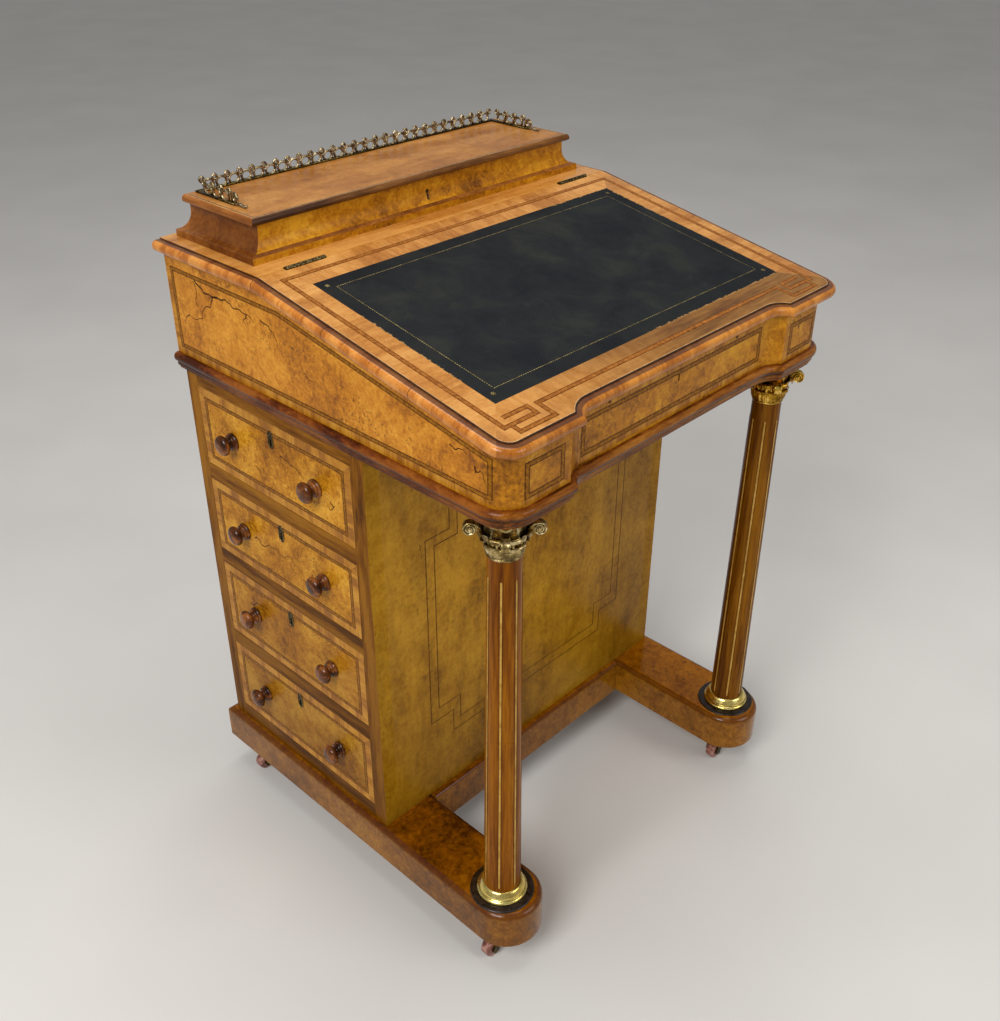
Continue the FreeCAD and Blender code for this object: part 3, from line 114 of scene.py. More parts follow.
class Shade:
    """One material; each call adds a node and returns its output socket."""

    def __init__(self, name):
        self.material = bpy.data.materials.new(name)
        self.material.use_nodes = True
        self.tree = self.material.node_tree
        self.shader = self.tree.nodes["Principled BSDF"]
        coordinates = self.tree.nodes.new("ShaderNodeTexCoord")
        self.position = coordinates.outputs["Object"]
        self.facing = coordinates.outputs["Normal"]
        MATERIALS[name] = self.material

    def feed(self, socket, value):
        """A socket takes another node's output, or a plain value."""
        if isinstance(value, bpy.types.NodeSocket):
            self.tree.links.new(value, socket)
        else:
            socket.default_value = value

    def fill(self, node, **inputs):
        """Inputs of a node, each by its socket's name with _ for a space."""
        for name, value in inputs.items():
            self.feed(node.inputs[name.replace("_", " ")], value)

    def node(self, kind, output, **inputs):
        """Output of a new node."""
        made = self.tree.nodes.new("ShaderNode" + kind)
        self.fill(made, **inputs)
        return made.outputs[output]

    def sum(self, operation, first, second=0.0):
        """A Math node."""
        node = self.tree.nodes.new("ShaderNodeMath")
        node.operation = operation
        self.feed(node.inputs[0], first)
        self.feed(node.inputs[1], second)
        return node.outputs[0]

    def less(self, first, second):
        """The first value less the second."""
        return self.sum("SUBTRACT", first, second)

    def both(self, *masks):
        """The product of masks."""
        total = masks[0]
        for mask in masks[1:]:
            total = self.sum("MULTIPLY", total, mask)
        return total

    def mixed(self, *parts):
        """Weighted sum; a part is a weight and a value."""
        total = 0.0
        for weight, value in parts:
            total = self.sum("ADD", self.both(value, weight), total)
        return total

    def along(self, direction, vector=None):
        """Length of the position, or of another vector, along a direction."""
        node = self.tree.nodes.new("ShaderNodeVectorMath")
        node.operation = "DOT_PRODUCT"
        self.feed(node.inputs[0], vector or self.position)
        node.inputs[1].default_value = direction
        return node.outputs["Value"]

    def lean(self, direction):
        """How far a surface faces a direction, 1 being straight at it."""
        return self.along(direction, self.facing)

    def step(self, value, low, high, least=0.0, most=1.0):
        """From least at low to most at high, straight between."""
        return self.node("MapRange", "Result", Value=value, From_Min=low, From_Max=high,
                         To_Min=least, To_Max=most)

    def stretched(self, stretch):
        """Position with each axis scaled, for figure that runs one way."""
        return self.node("Mapping", "Vector", Vector=self.position, Scale=stretch)

    def noise(self, scale, detail=2.0, roughness=0.5, distortion=0.0, vector=None):
        """Noise of so many features to the metre."""
        return self.node("TexNoise", "Fac", Vector=vector or self.position, Scale=scale, Detail=detail,
                         Roughness=roughness, Distortion=distortion)

    def ramp(self, value, places, colours):
        """Colours along a value, each at its place."""
        node = self.tree.nodes.new("ShaderNodeValToRGB")
        self.feed(node.inputs["Fac"], value)
        elements = node.color_ramp.elements
        while len(elements) < len(places):
            elements.new(0.5)
        for element, place, colour in zip(elements, places, colours):
            element.position = place
            element.color = colour
        return node.outputs["Color"]

    def blend(self, share, first, second):
        """The first colour, going over to the second as the share rises."""
        node = self.tree.nodes.new("ShaderNodeMix")
        node.data_type = "RGBA"
        self.feed(node.inputs["Factor"], share)
        colours = [socket for socket in node.inputs if socket.type == "RGBA"]
        self.feed(colours[0], first)
        self.feed(colours[1], second)
        return next(socket for socket in node.outputs if socket.type == "RGBA")

    def towards(self, direction, least=0.7):
        """1 on faces that look along a direction."""
        return self.step(self.lean(direction), least - 0.02, least + 0.02)

    def outer(self, direction, distance, least=0.7, depth=0.002):
        """1 on faces that look along a direction, down to a depth below a plane that stands across it."""
        edge, soft = distance - depth, 0.00015
        beyond = self.step(self.along(direction), edge - soft, edge + soft)
        return self.both(self.towards(direction, least), beyond)

    def line(self, value, place, half_width):
        """1 in a narrow line where a value passes a place."""
        return self.step(self.sum("ABSOLUTE", self.less(value, place)), half_width, half_width * 0.5)

    def finish(self, colour, wear, smooth, dull, bumps, distance, strength, **inputs):
        """Colour, gloss that a wear takes from smooth to dull, and bump in metres of height."""
        bump = self.node("Bump", "Normal", Strength=strength, Distance=distance, Height=bumps)
        gloss = self.step(wear, 0.3, 0.7, smooth, dull)
        self.fill(self.shader, Base_Color=colour, Roughness=gloss, Normal=bump, **inputs)


# ---- figure of the woods ----

WALNUT_GOLD = tones((124, 66, 6), (186, 116, 18), (222, 154, 48))
WALNUT_DRAWER = tones((124, 70, 4), (184, 120, 22), (222, 164, 54))
WALNUT_OLIVE = tones((98, 60, 0), (160, 110, 10), (194, 144, 34))
WALNUT_FRONT = tones((108, 60, 2), (174, 110, 8), (212, 152, 30))
# painted shade with a reddish reflection, for the sides of the box and its lid
SIDE_SHADE_RED = tones((92, 46, 10), (126, 72, 22), (160, 100, 42))
WALNUT_RUNNER = tones((62, 28, 0), (122, 66, 0), (164, 100, 8))
RUNNER_SIDE = tones((80, 44, 0), (124, 74, 4), (160, 106, 22))
WALNUT_LID = tones((138, 78, 22), (178, 116, 48), (208, 150, 80))
LID_FRONT_DARKER = tones((78, 44, 8), (112, 72, 22), (144, 98, 40))
WALNUT_BOX_LID = tones((122, 70, 22), (158, 100, 38), (190, 134, 68))
MOULDING_FRONT = tones((82, 38, 4), (128, 72, 16), (164, 104, 34))
MOULDING_TONES = tones((66, 26, 6), (108, 52, 14), (144, 82, 26))
# painted shade for the moulding's underside
MOULDING_UNDER_SHADE = tint(40, 18, 6)
BOX_EDGE = tones((58, 30, 6), (92, 54, 16), (126, 80, 34))
FRAME_TONES = tones((78, 42, 0), (118, 70, 4), (148, 96, 18))
HONEY = tones((140, 84, 8), (170, 110, 20), (192, 134, 38))
NOSE_ORANGE = tones((148, 80, 20), (188, 114, 42), (216, 148, 72))
NOSE_FRONT = tones((126, 68, 10), (168, 100, 24), (200, 132, 50))
# painted shade and dark reflection for the nose's flat step
NOSE_STEP_SHADE = tint(58, 32, 28)
PLAIN_BROWN = tones((94, 50, 4), (116, 66, 6), (138, 84, 14))
LINING = tones((128, 90, 50), (152, 110, 64), (176, 134, 82))
COLUMN_TONES = tones((80, 38, 0), (118, 64, 0), (152, 92, 6))
COLUMN_DARK = tones((60, 28, 0), (98, 54, 0), (134, 84, 6))
DARK_VEIN = tint(50, 26, 2)
# painted shade colour for the darkening lower down
FALLOFF_SHADE_BROWN = tint(58, 30, 0)


def burr(shade, colours, coarse=9.0, pips=0.7, veins=0.35):
    """Burr figure: clouds, mottling, dark flecks in clusters and a few crooked threads."""
    clouds = shade.noise(coarse, 2.0, 0.5, 0.5)
    mottle = shade.noise(coarse * 7, 4.0, 0.62, 0.6)
    fine = shade.noise(coarse * 26, 3.0, 0.65, 0.3)
    tone = shade.mixed((0.42, clouds), (0.32, mottle), (0.26, fine))
    colour = shade.ramp(tone, (0.37, 0.49, 0.62), colours)
    clusters = shade.step(shade.noise(coarse * 2.2, 2.0, 0.5, 0.4), 0.44, 0.64)
    flecks = shade.step(shade.noise(coarse * 32, 2.5, 0.6, 0.3), 0.57, 0.66)
    colour = shade.blend(shade.both(flecks, clusters, pips), colour, DARK_VEIN)
    thread = shade.line(shade.noise(coarse * 1.9, 5.0, 0.60, 1.4), 0.5, 0.0035)
    patch = shade.step(shade.noise(coarse * 0.8, 1.0), 0.52, 0.62)
    return shade.blend(shade.both(thread, patch, veins), colour, DARK_VEIN)


def grain(shade, colours, stretch, scale=26.0, ticks=0.35):
    """Straight figure; stretch is small along the axis that the grain follows."""
    run = shade.stretched(stretch)
    wide = shade.noise(scale, 3.0, 0.55, 0.5, run)
    narrow = shade.noise(scale * 9, 3.0, 0.6, 0.3, run)
    colour = shade.ramp(shade.mixed((0.7, wide), (0.3, narrow)), (0.40, 0.49, 0.60), colours)
    pores = shade.step(shade.noise(scale * 22, 2.0, 0.6, 0.0, run), 0.58, 0.70)
    return shade.blend(shade.both(pores, ticks), colour, colours[0])


def polish(shade, colour, roughness=0.30, coat=0.04, level=0.18):
    """French polish over a wood."""
    shade.finish(colour, shade.noise(14, 3.0, 0.6, 0.4), roughness - 0.06, roughness + 0.10,
                 shade.noise(60, 3.0, 0.55), 0.00035, 0.35,
                 Specular_IOR_Level=level, Coat_Weight=coat, Coat_Roughness=0.12)


def grain_material(name, colours, stretch, scale=26.0, ticks=0.35, **finish):
    """Straight-grained wood all over."""
    shade = Shade(name)
    polish(shade, grain(shade, colours, stretch, scale, ticks), **finish)


def front_material():
    """Desk front: burr outside, plain wood inside."""
    shade = Shade("burr_desk_front")
    outer = shade.outer(-BACK, -Y_BLOCK, 0.02, 0.032)
    polish(shade, shade.blend(outer, grain(shade, PLAIN_BROWN, ALONG_X), burr(shade, WALNUT_FRONT)))


def side_material(name, sign):
    """Desk side: burr outside, up to and round the corner; plain wood inside."""
    shade = Shade(name)
    outer = shade.sum("MAXIMUM", shade.outer(RIGHT * sign, HALF_DESK),
                      shade.outer(-BACK, -Y_BLOCK, 0.04, CORNER_RADIUS))
    polish(shade, shade.blend(outer, grain(shade, PLAIN_BROWN, ALONG_Y), burr(shade, WALNUT_GOLD)))


def painted_falloff_shade(shade, colour, high, low, share):
    """Painted shade: colour that goes darker from one height down to another, standing in for light that
    falls off lower down.
    """
    return shade.blend(shade.step(shade.along(UP), high, low, 0.0, share), colour, FALLOFF_SHADE_BROWN)


def drawer_material(name, sign, distance, inner):
    """Drawer front: burr on its face with painted shade that darkens the lower drawers, and plain wood
    elsewhere.
    """
    shade = Shade(name)
    # painted shade: the burr goes darker towards the lower drawers
    veneer = painted_falloff_shade(shade, burr(shade, WALNUT_DRAWER, 13.0, 0.8, 0.6), 0.48, 0.12, 0.5)
    sideways = shade.step(shade.sum("ABSOLUTE", shade.lean(BACK)), 0.68, 0.72)
    box = shade.blend(sideways, grain(shade, inner, ALONG_Y), grain(shade, inner, ALONG_X))
    polish(shade, shade.blend(shade.outer(RIGHT * sign, distance), box, veneer), coat=0.0, level=0.10)


def pedestal_veneer(shade):
    """Olive burr of the pedestal front, which runs on over the edges of the side frames, with painted shade
    that darkens it lower down.
    """
    streaks = grain(shade, WALNUT_OLIVE, (1, 1, 0.25), 14, 0.2)
    figure = shade.blend(0.35, burr(shade, WALNUT_OLIVE, 7.0, 0.5, 0.25), streaks)
    # painted shade: darker towards the floor
    return painted_falloff_shade(shade, figure, 0.30, 0.10, 0.35)


def pedestal_material():
    """Pedestal front panel."""
    shade = Shade("burr_pedestal_front")
    polish(shade, pedestal_veneer(shade), 0.34, level=0.12)


def side_frame_material():
    """Pedestal sides: upright posts and level rails, darkened lower down by painted shade, and the front's
    veneer on the front edge.
    """
    shade = Shade("walnut_side_frame")
    low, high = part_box("drawer_1")
    y, gap, soft = shade.along(BACK), 0.0006, 0.0002
    rail = shade.both(shade.step(y, low.y - gap - soft, low.y - gap + soft),
                      shade.step(y, high.y + gap + soft, high.y + gap - soft))
    posts = grain(shade, FRAME_TONES, (1, 1, 0.1), 44, 0.6)
    rails = grain(shade, FRAME_TONES, (1, 0.08, 1), 44, 0.6)
    # painted shade: the posts and rails go darker lower down
    sides = painted_falloff_shade(shade, shade.blend(rail, posts, rails), 0.55, 0.10, 0.35)
    front = shade.outer(-BACK, -PEDESTAL_FACE)
    polish(shade, shade.blend(front, sides, pedestal_veneer(shade)), coat=0.0, level=0.06)


def box_material():
    """Stationery box: golden burr in front, and at its sides a darker, redder burr that is painted shade with
    a reddish reflection.
    """
    shade = Shade("burr_stationery_box")
    # painted shade with a reddish reflection on the sides
    sides = burr(shade, SIDE_SHADE_RED, 6.0, 0.3, 0.1)
    polish(shade, shade.blend(shade.towards(-BACK, 0.6), sides, burr(shade, WALNUT_FRONT, 8.0, 0.6, 0.3)))


def box_lid_material():
    """Stationery box lid: streaked top, dark rounded edge in front, and at the sides the box's red painted
    shade and reflection.
    """
    shade = Shade("burr_box_lid")
    top = shade.outer(UP, BOX_LID_BOX[1].z, 0.97, 0.0003)
    # the side edges take the box sides' painted shade and reddish reflection
    edge = shade.blend(shade.towards(-BACK, 0.3), grain(shade, SIDE_SHADE_RED, (1, 0.15, 1)),
                       grain(shade, BOX_EDGE, (0.15, 1, 1)))
    streaks = grain(shade, WALNUT_BOX_LID, (0.22, 1, 1), 22, 0.2)
    field = shade.blend(0.6, streaks, burr(shade, WALNUT_BOX_LID, 14.0, 0.5, 0.2))
    polish(shade, shade.blend(top, edge, field), level=0.25)


def moulding_material():
    """Red walnut moulding, browner in front, with painted shade on its underside."""
    shade = Shade("moulding_red_walnut")
    front = shade.step(shade.lean(-BACK), 0.1, 0.5)
    colour = shade.blend(front, grain(shade, MOULDING_TONES, (0.3, 0.3, 1), 40),
                         grain(shade, MOULDING_FRONT, (0.15, 1, 1), 40))
    # painted shade on the faces that look down
    under_shade = shade.step(shade.lean(UP), 0.15, -0.35, 0.0, 0.8)
    polish(shade, shade.blend(under_shade, colour, MOULDING_UNDER_SHADE), 0.20, 0.05, 0.14)


def runner_material():
    """Runners and cross rails: reddish burr on top, olive sides, and a red-brown arris between them."""
    shade = Shade("burr_runner")
    upward = shade.lean(UP)
    top = burr(shade, WALNUT_RUNNER, 5.5, 0.7, 0.1)
    sides = burr(shade, RUNNER_SIDE, 9.0, 0.5, 0.1)
    arris = shade.both(shade.step(upward, 0.15, 0.4), shade.step(upward, 0.995, 0.95), 0.6)
    colour = shade.blend(shade.step(upward, 0.3, 0.8), sides, top)
    polish(shade, shade.blend(arris, colour, MOULDING_TONES[0]), 0.15, 0.20, 0.16)


def past_leather(shade):
    """Distance down the slope from the seam, and distances past the leather's sides and past its ends."""
    down = shade.sum("DIVIDE", shade.less(SEAM.y, shade.along(BACK)), cos(SLOPE))
    past_side = shade.less(shade.sum("ABSOLUTE", shade.along(RIGHT)), LEATHER_HALF)
    past_end = shade.sum("MAXIMUM", shade.less(down, LEATHER_FRONT), shade.less(LEATHER_REAR, down))
    return down, past_side, past_end


def top_material(name, lid):
    """Banded top: honey borders mitred at the corners, and the cross-grained rounded nose, with painted shade
    and dark reflection on the flat step at its top.
    """
    shade = Shade(name)
    down, past_side, past_end = past_leather(shade)
    mitre = shade.less(past_side, past_end if lid else HALF_DESK - 0.016 - LEATHER_HALF)
    at_side = shade.step(mitre, -0.0002, 0.0002)
    field = grain(shade, WALNUT_LID, (0.12, 1, 1), 24)
    if lid:
        field = shade.blend(at_side, grain(shade, WALNUT_LID, (1, 0.12, 1), 24), field)
    field = shade.blend(0.45, field, burr(shade, WALNUT_LID, 11.0, 0.4, 0.2))
    if lid:
        # the lid's front border goes darker towards the right
        to_right = shade.step(shade.along(RIGHT), -0.23, 0.03)
        at_front = shade.both(shade.step(down, LEATHER_FRONT - 0.002, LEATHER_FRONT),
                              shade.step(mitre, 0.0002, -0.0002), to_right, 0.9)
        field = shade.blend(at_front, field, grain(shade, LID_FRONT_DARKER, (0.12, 1, 1), 30))
    nose = shade.blend(at_side, grain(shade, NOSE_FRONT, (1, 0.3, 0.3), 44, 0.2),
                       grain(shade, NOSE_ORANGE, (0.3, 1, 0.3), 44, 0.2))
    nose = shade.blend(0.30, nose, burr(shade, NOSE_ORANGE, 12.0, 1.0, 0.0))
    for joint in NOSE_JOINTS if lid else ():
        nose = shade.blend(shade.both(shade.line(down, joint, 0.0006), at_side, 0.8), nose, DARK_VEIN)
    normal = Vector((0, -sin(SLOPE), cos(SLOPE))) if lid else UP
    # painted shade and dark reflection on the flat step of the nose beside the quirk
    flatness = shade.step(shade.lean(normal), 0.94, 0.99)
    nose = shade.blend(shade.both(flatness, 0.75), nose, NOSE_STEP_SHADE)
    colour = shade.blend(shade.outer(normal, normal.dot(SEAM), depth=0.0008), nose, field)
    colour = shade.blend(shade.towards(-UP, 0.9), colour, grain(shade, PLAIN_BROWN, ALONG_X))
    polish(shade, colour, 0.22, 0.15, 0.25)


# ---- metals and small stuffs ----

MOTTLING = (0.38, 0.50, 0.62)


def metal(name, colours, roughness, grime, patches=90.0, reach=0.006, pitting=0.12):
    """Brass or gilt with a darker patina in its hollows and patches."""
    shade = Shade(name)
    colour = shade.ramp(shade.noise(patches, 4.0, 0.65, 0.5), MOTTLING, tones(*colours))
    hollow = shade.node("AmbientOcclusion", "AO", Distance=reach)
    hollow.node.samples = 4
    colour = shade.blend(shade.both(shade.step(hollow, 0.85, 0.30), grime), colour, tint(26, 20, 8))
    shade.finish(colour, shade.noise(260, 3.0, 0.6), roughness - 0.08, roughness + 0.14,
                 shade.noise(700, 3.0, 0.6), 0.0002, pitting, Metallic=1.0)


def mottled(name, colours, roughness=0.30, scale=300.0, coat=0.0, level=0.30):
    """A small part in one stuff, with mottled colour and wear."""
    shade = Shade(name)
    colour = shade.ramp(shade.noise(scale, 4.0, 0.6, 0.5), MOTTLING, tones(*colours))
    shade.finish(colour, shade.noise(scale * 2, 3.0), roughness - 0.06, roughness + 0.12,
                 shade.noise(scale * 3, 2.0), 0.0002, 0.3, Specular_IOR_Level=level, Coat_Weight=coat)


def leather_material():
    """Blue-black hide, mottled and worn, nicked along its edges."""
    shade = Shade("blue_black_leather")
    colour = shade.ramp(shade.noise(16, 5.0, 0.62, 0.5), (0.34, 0.50, 0.66),
                        tones((9, 13, 18), (19, 23, 25), (33, 35, 31)))
    rubbed = shade.step(shade.noise(48, 5.0, 0.7, 0.6), 0.58, 0.78)
    colour = shade.blend(shade.both(rubbed, 0.3), colour, tint(54, 50, 38))
    past = shade.sum("MAXIMUM", *past_leather(shade)[1:])
    colour = shade.blend(shade.step(past, -0.0195, -0.0185, 0.0, 0.35), colour, tint(7, 10, 15))
    ragged = shade.step(shade.noise(190, 4.0, 0.7), 0.46, 0.72, -0.0002, -0.0030)
    nicked = shade.step(shade.less(past, ragged), 0.0, 0.0002)
    worn = shade.step(shade.noise(7, 1.0), 0.47, 0.53)
    colour = shade.blend(shade.both(nicked, worn, 0.9), colour, tint(160, 122, 72))
    pebbles = shade.node("TexVoronoi", "Distance", Vector=shade.position, Scale=900)
    creases = shade.mixed((0.5, pebbles), (1.0, shade.noise(340, 4.0, 0.6, 0.8)))
    shade.finish(colour, shade.noise(30, 3.0), 0.42, 0.62, creases, 0.0004, 0.5, Specular_IOR_Level=0.16)


def make_woods():
    """Every large wood of the desk."""
    side_material("burr_desk_side_left", -1)
    side_material("burr_desk_side_right", 1)
    front_material()
    drawer_material("burr_drawer_front", -1, -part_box("drawer_1")[0].x, LINING)
    drawer_material("burr_false_drawer", 1, FALSE_FACE, PLAIN_BROWN)
    side_frame_material()
    pedestal_material()
    top_material("banded_lid", True)
    top_material("banded_top", False)
    box_material()
    box_lid_material()
    moulding_material()
    runner_material()
    grain_material("walnut_along_x", PLAIN_BROWN, ALONG_X)
    grain_material("lining_along_x", LINING, ALONG_X, roughness=0.5, coat=0.0)
    grain_material("lining_along_y", LINING, ALONG_Y, roughness=0.5, coat=0.0)
    grain_material("column_walnut_left", COLUMN_TONES, (1, 1, 0.06), 34, coat=0.02, level=0.08)
    grain_material("column_walnut_right", COLUMN_DARK, (1, 1, 0.06), 34, coat=0.02, level=0.08)
    for axis, stretch in (("x", (0.12, 1, 1)), ("y", (1, 0.12, 1)), ("z", (1, 1, 0.12))):
        grain_material(f"crossband_grain_{axis}", HONEY, stretch, 60, 0.5)


def make_small_woods():
    """Turned and inlaid woods."""
    mottled("turned_knob_wood", ((40, 18, 4), (90, 46, 14), (144, 86, 38)), 0.14, 60, 0.15, 0.2)
    mottled("ebonised_disc", ((16, 9, 5), (28, 18, 10), (46, 32, 20)), scale=120, coat=0.3)
    mottled("band_dark_edge", ((54, 28, 0), (76, 42, 2), (98, 58, 6)), level=0.10)
    mottled("band_brown_core", ((112, 66, 4), (136, 84, 10), (156, 102, 20)), level=0.10)
    mottled("lid_band_edge", ((82, 40, 4), (102, 52, 8), (124, 68, 16)), level=0.15)
    mottled("lid_band_core", ((124, 70, 18), (144, 86, 26), (162, 102, 38)), level=0.15)
    mottled("quirk_shadow_line", ((20, 12, 10), (32, 20, 16), (50, 32, 24)), 0.25, coat=0.2)
    # painted highlight line beside the quirk's painted shadow
    mottled("rubbed_pale_line", ((164, 126, 82), (186, 148, 102), (204, 168, 124)), scale=120)
    mottled("column_stringing", ((160, 118, 46), (178, 136, 60), (192, 150, 74)), 0.35, 60, level=0.12)
    mottled("dark_line", ((60, 28, 0), (84, 44, 2), (106, 60, 8)), 0.35, level=0.10)
    mottled("dark_vein", ((40, 20, 2), (60, 32, 4), (88, 50, 10)), 0.40, level=0.10)


def make_metals():
    """Every metal of the desk, with the castor wheels and the leather."""
    metal("antique_gilt", ((104, 86, 50), (166, 142, 88), (228, 208, 156)), 0.28, 0.4, reach=0.004)
    metal("bright_gilt", ((122, 86, 20), (190, 144, 44), (238, 198, 98)), 0.24, 0.4, reach=0.004)
    metal("gallery_brass", ((92, 78, 54), (142, 124, 90), (208, 192, 154)), 0.28, 0.3, 260, 0.002)
    metal("polished_brass", ((206, 178, 92), (232, 208, 122), (248, 232, 156)), 0.20, 0.7, 24, 0.003, 0.01)
    metal("hinge_brass", ((44, 36, 20), (84, 70, 42), (156, 136, 92)), 0.34, 0.2, 520)
    metal("aged_brass", ((38, 32, 18), (70, 58, 30), (124, 100, 54)), 0.38, 0.7, 400)
    metal("gilt_tooling", ((120, 104, 60), (156, 138, 86), (186, 168, 112)), 0.5, 0.0)
    mottled("castor_wheel_brown", ((96, 52, 42), (138, 86, 72), (172, 126, 112)), scale=90, coat=0.3)
    leather_material()


def dress(finish, *nodes):
    """Give CAD nodes their finish."""
    for node in nodes:
        slots = frame["nodes"][node].data.materials
        slots.clear()
        slots.append(MATERIALS[finish])


def dress_all():
    """A finish for every node that shows."""
    for side, gilt in (("left", "antique_gilt"), ("right", "bright_gilt")):
        dress(f"burr_desk_side_{side}", f"desk_side_{side}")
        dress(f"column_walnut_{side}", f"column_{side}")
        dress(gilt, f"column_capital_{side}")
    dress("burr_desk_front", "desk_front")
    dress("walnut_along_x", "desk_back", "pedestal_back_panel")
    dress("lining_along_x", "desk_bottom", "pedestal_bottom_board")
    dress("lining_along_y", "dust_frames", "box_dividers")
    dress("moulding_red_walnut", "lower_moulding")
    dress("banded_lid", "slope_lid")
    dress("banded_top", "top_board")
    dress("blue_black_leather", "writing_leather")
    dress("walnut_side_frame", "drawer_side_frame", "right_side_panel")
    dress("burr_pedestal_front", "pedestal_front_panel")
    dress("burr_runner", "front_cross_rail", "rear_cross_rail", "runner_left", "runner_right")
    dress("burr_stationery_box", "box_walls", "box_plinth")
    dress("burr_box_lid", "box_lid")
    dress("gallery_brass", "gallery")
    dress("ebonised_disc", "column_discs")
    dress("polished_brass", "column_bases")
    dress("aged_brass", "lid_locks", "false_escutcheons", "castor_plates")
    dress("burr_false_drawer", "false_drawer_fronts")
    dress("turned_knob_wood", "false_drawer_knobs")
    for place in ("desk", "slope_lid", "box", "box_lid"):
        dress("hinge_brass", f"{place}_hinge_leaves")
    for number in DRAWERS:
        dress("burr_drawer_front", f"drawer_{number}")
        dress("turned_knob_wood", f"drawer_{number}_knobs")
        dress("aged_brass", f"drawer_{number}_lock")
    for place in ("front_left", "front_right", "rear_left", "rear_right"):
        dress("aged_brass", f"castor_fork_{place}")
        dress("castor_wheel_brown", f"castor_wheel_{place}")


# ---- mesh building ----

class Builder:
    """Collects faces for one piece of the desk's finish."""

    def __init__(self):
        self.points = []
        self.faces = []
        self.picks = []
        self.rounded = []

    def face(self, corners, pick, rounded):
        """One face by its corner numbers."""
        self.faces.append(tuple(corners))
        self.picks.append(pick)
        self.rounded.append(rounded)

    def loft(self, rings, wrap=False, pick=0, rounded=False):
        """Skin through rings of equal length; wrap joins the last ring to the first, else both are capped."""
        start = len(self.points)
        size = len(rings[0])
        for ring in rings:
            self.points.extend(ring)
        pick_of = pick if callable(pick) else lambda span: pick
        for span in range(len(rings) if wrap else len(rings) - 1):
            low = start + span * size
            high = start + ((span + 1) % len(rings)) * size
            for corner in range(size):
                after = (corner + 1) % size
                self.face((low + corner, low + after, high + after, high + corner), pick_of(span), rounded)
        if not wrap:
            last = len(self.points) - size
            self.face(reversed(range(start, start + size)), pick_of(0), False)
            self.face(range(last, last + size), pick_of(0), False)

    def piece(self, name, finish, body="carcase", slot="burr_walnut", stands_for=()):
        """The finished object, with its faces looking outward, riding on its body."""
        mesh = bpy.data.meshes.new(name)
        mesh.from_pydata([tuple(point) for point in self.points], [], self.faces)
        for material in finish.split():
            mesh.materials.append(MATERIALS[material])
        mesh.polygons.foreach_set("material_index", self.picks)
        mesh.polygons.foreach_set("use_smooth", self.rounded)
        shell = bmesh.new()
        shell.from_mesh(mesh)
        bmesh.ops.recalc_face_normals(shell, faces=shell.faces)
        shell.to_mesh(mesh)
        shell.free()
        made = bpy.data.objects.new(name, mesh)
        bpy.context.scene.collection.objects.link(made)
        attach(made, body)
        if stands_for:
            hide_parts(*stands_for)


class Face:
    """A flat face of the desk: a point on it, and its right-hand and upward directions."""

    def __init__(self, origin, right, up=UP):
        self.origin = Vector(origin)
        self.right = Vector(right)
        self.up = Vector(up)

    def frame(self, across, upward):
        """Place, right, up and outward directions at a point of the face."""
        place = self.origin + self.right * across + self.up * upward
        return place, self.right, self.up, self.right.cross(self.up)

    def point(self, across, upward, out):
        """A point in front of the face."""
        place, *_, normal = self.frame(across, upward)
        return place + normal * out


class ShapedFront(Face):
    """The desk front, which follows its blocks, concave curves and rounded corners; across is X."""

    def frame(self, across, upward):
        """Place and directions on the curved face."""
        x = abs(across)
        curve_end = HALF_DESK - BLOCK_WIDTH
        curve_start = curve_end - RECESS_RUN
        corner_start = HALF_DESK - CORNER_RADIUS
        depth, lean = 0.0, 0.0
        if x < curve_start:
            depth = FRONT_RECESS
        elif x < curve_end:
            run = x - curve_start
            depth = FRONT_RECESS - RECESS_RADIUS + sqrt(RECESS_RADIUS ** 2 - run ** 2)
            lean = -run / RECESS_RADIUS
        elif x > corner_start:
            run = min(x - corner_start, CORNER_RADIUS)
            depth = CORNER_RADIUS - sqrt(CORNER_RADIUS ** 2 - run ** 2)
            lean = run / CORNER_RADIUS
        normal = Vector((copysign(1, across) * lean, -sqrt(1 - lean ** 2), 0))
        return Vector((across, Y_BLOCK + depth, upward)), UP.cross(normal), UP, normal


class DeskSide(Face):
    """A desk side, which goes on round its front corner; across is the length forward of the middle."""

    def __init__(self, sign):
        super().__init__((sign * HALF_DESK, 0, 0), (0, sign, 0))
        self.sign = sign

    def frame(self, across, upward):
        """Place and directions on the side or on its corner."""
        forward = -self.sign * across
        flat = -Y_BLOCK - CORNER_RADIUS
        turn = max(0.0, forward - flat) / CORNER_RADIUS
        reach = HALF_DESK - CORNER_RADIUS * (1 - cos(turn))
        ahead = min(forward, flat) + CORNER_RADIUS * sin(turn)
        normal = Vector((self.sign * cos(turn), -sin(turn), 0))
        return Vector((self.sign * reach, -ahead, upward)), UP.cross(normal), UP, normal


LID = Face(SEAM, RIGHT, (0, cos(SLOPE), sin(SLOPE)))
TOP = Face((0, 0, SEAM.z), RIGHT, BACK)
FRONT = ShapedFront((0, Y_BLOCK, 0), RIGHT)
PEDESTAL = Face((0, PEDESTAL_FACE, 0), RIGHT)
SIDES = {"left": DeskSide(-1), "right": DeskSide(1)}


def drawer_face(x, sign):
    """Face of the drawer fronts, seen from the left at sign -1 or from the right at 1."""
    return Face((x, 0, 0), (0, sign, 0))


def foot_of(node):
    """Middle of the underside of a node's box."""
    low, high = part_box(node)
    return Vector(((low.x + high.x) / 2, (low.y + high.y) / 2, low.z))


def heading(angle):
    """Level direction at an angle from +X."""
    return Vector((cos(angle), sin(angle), 0))


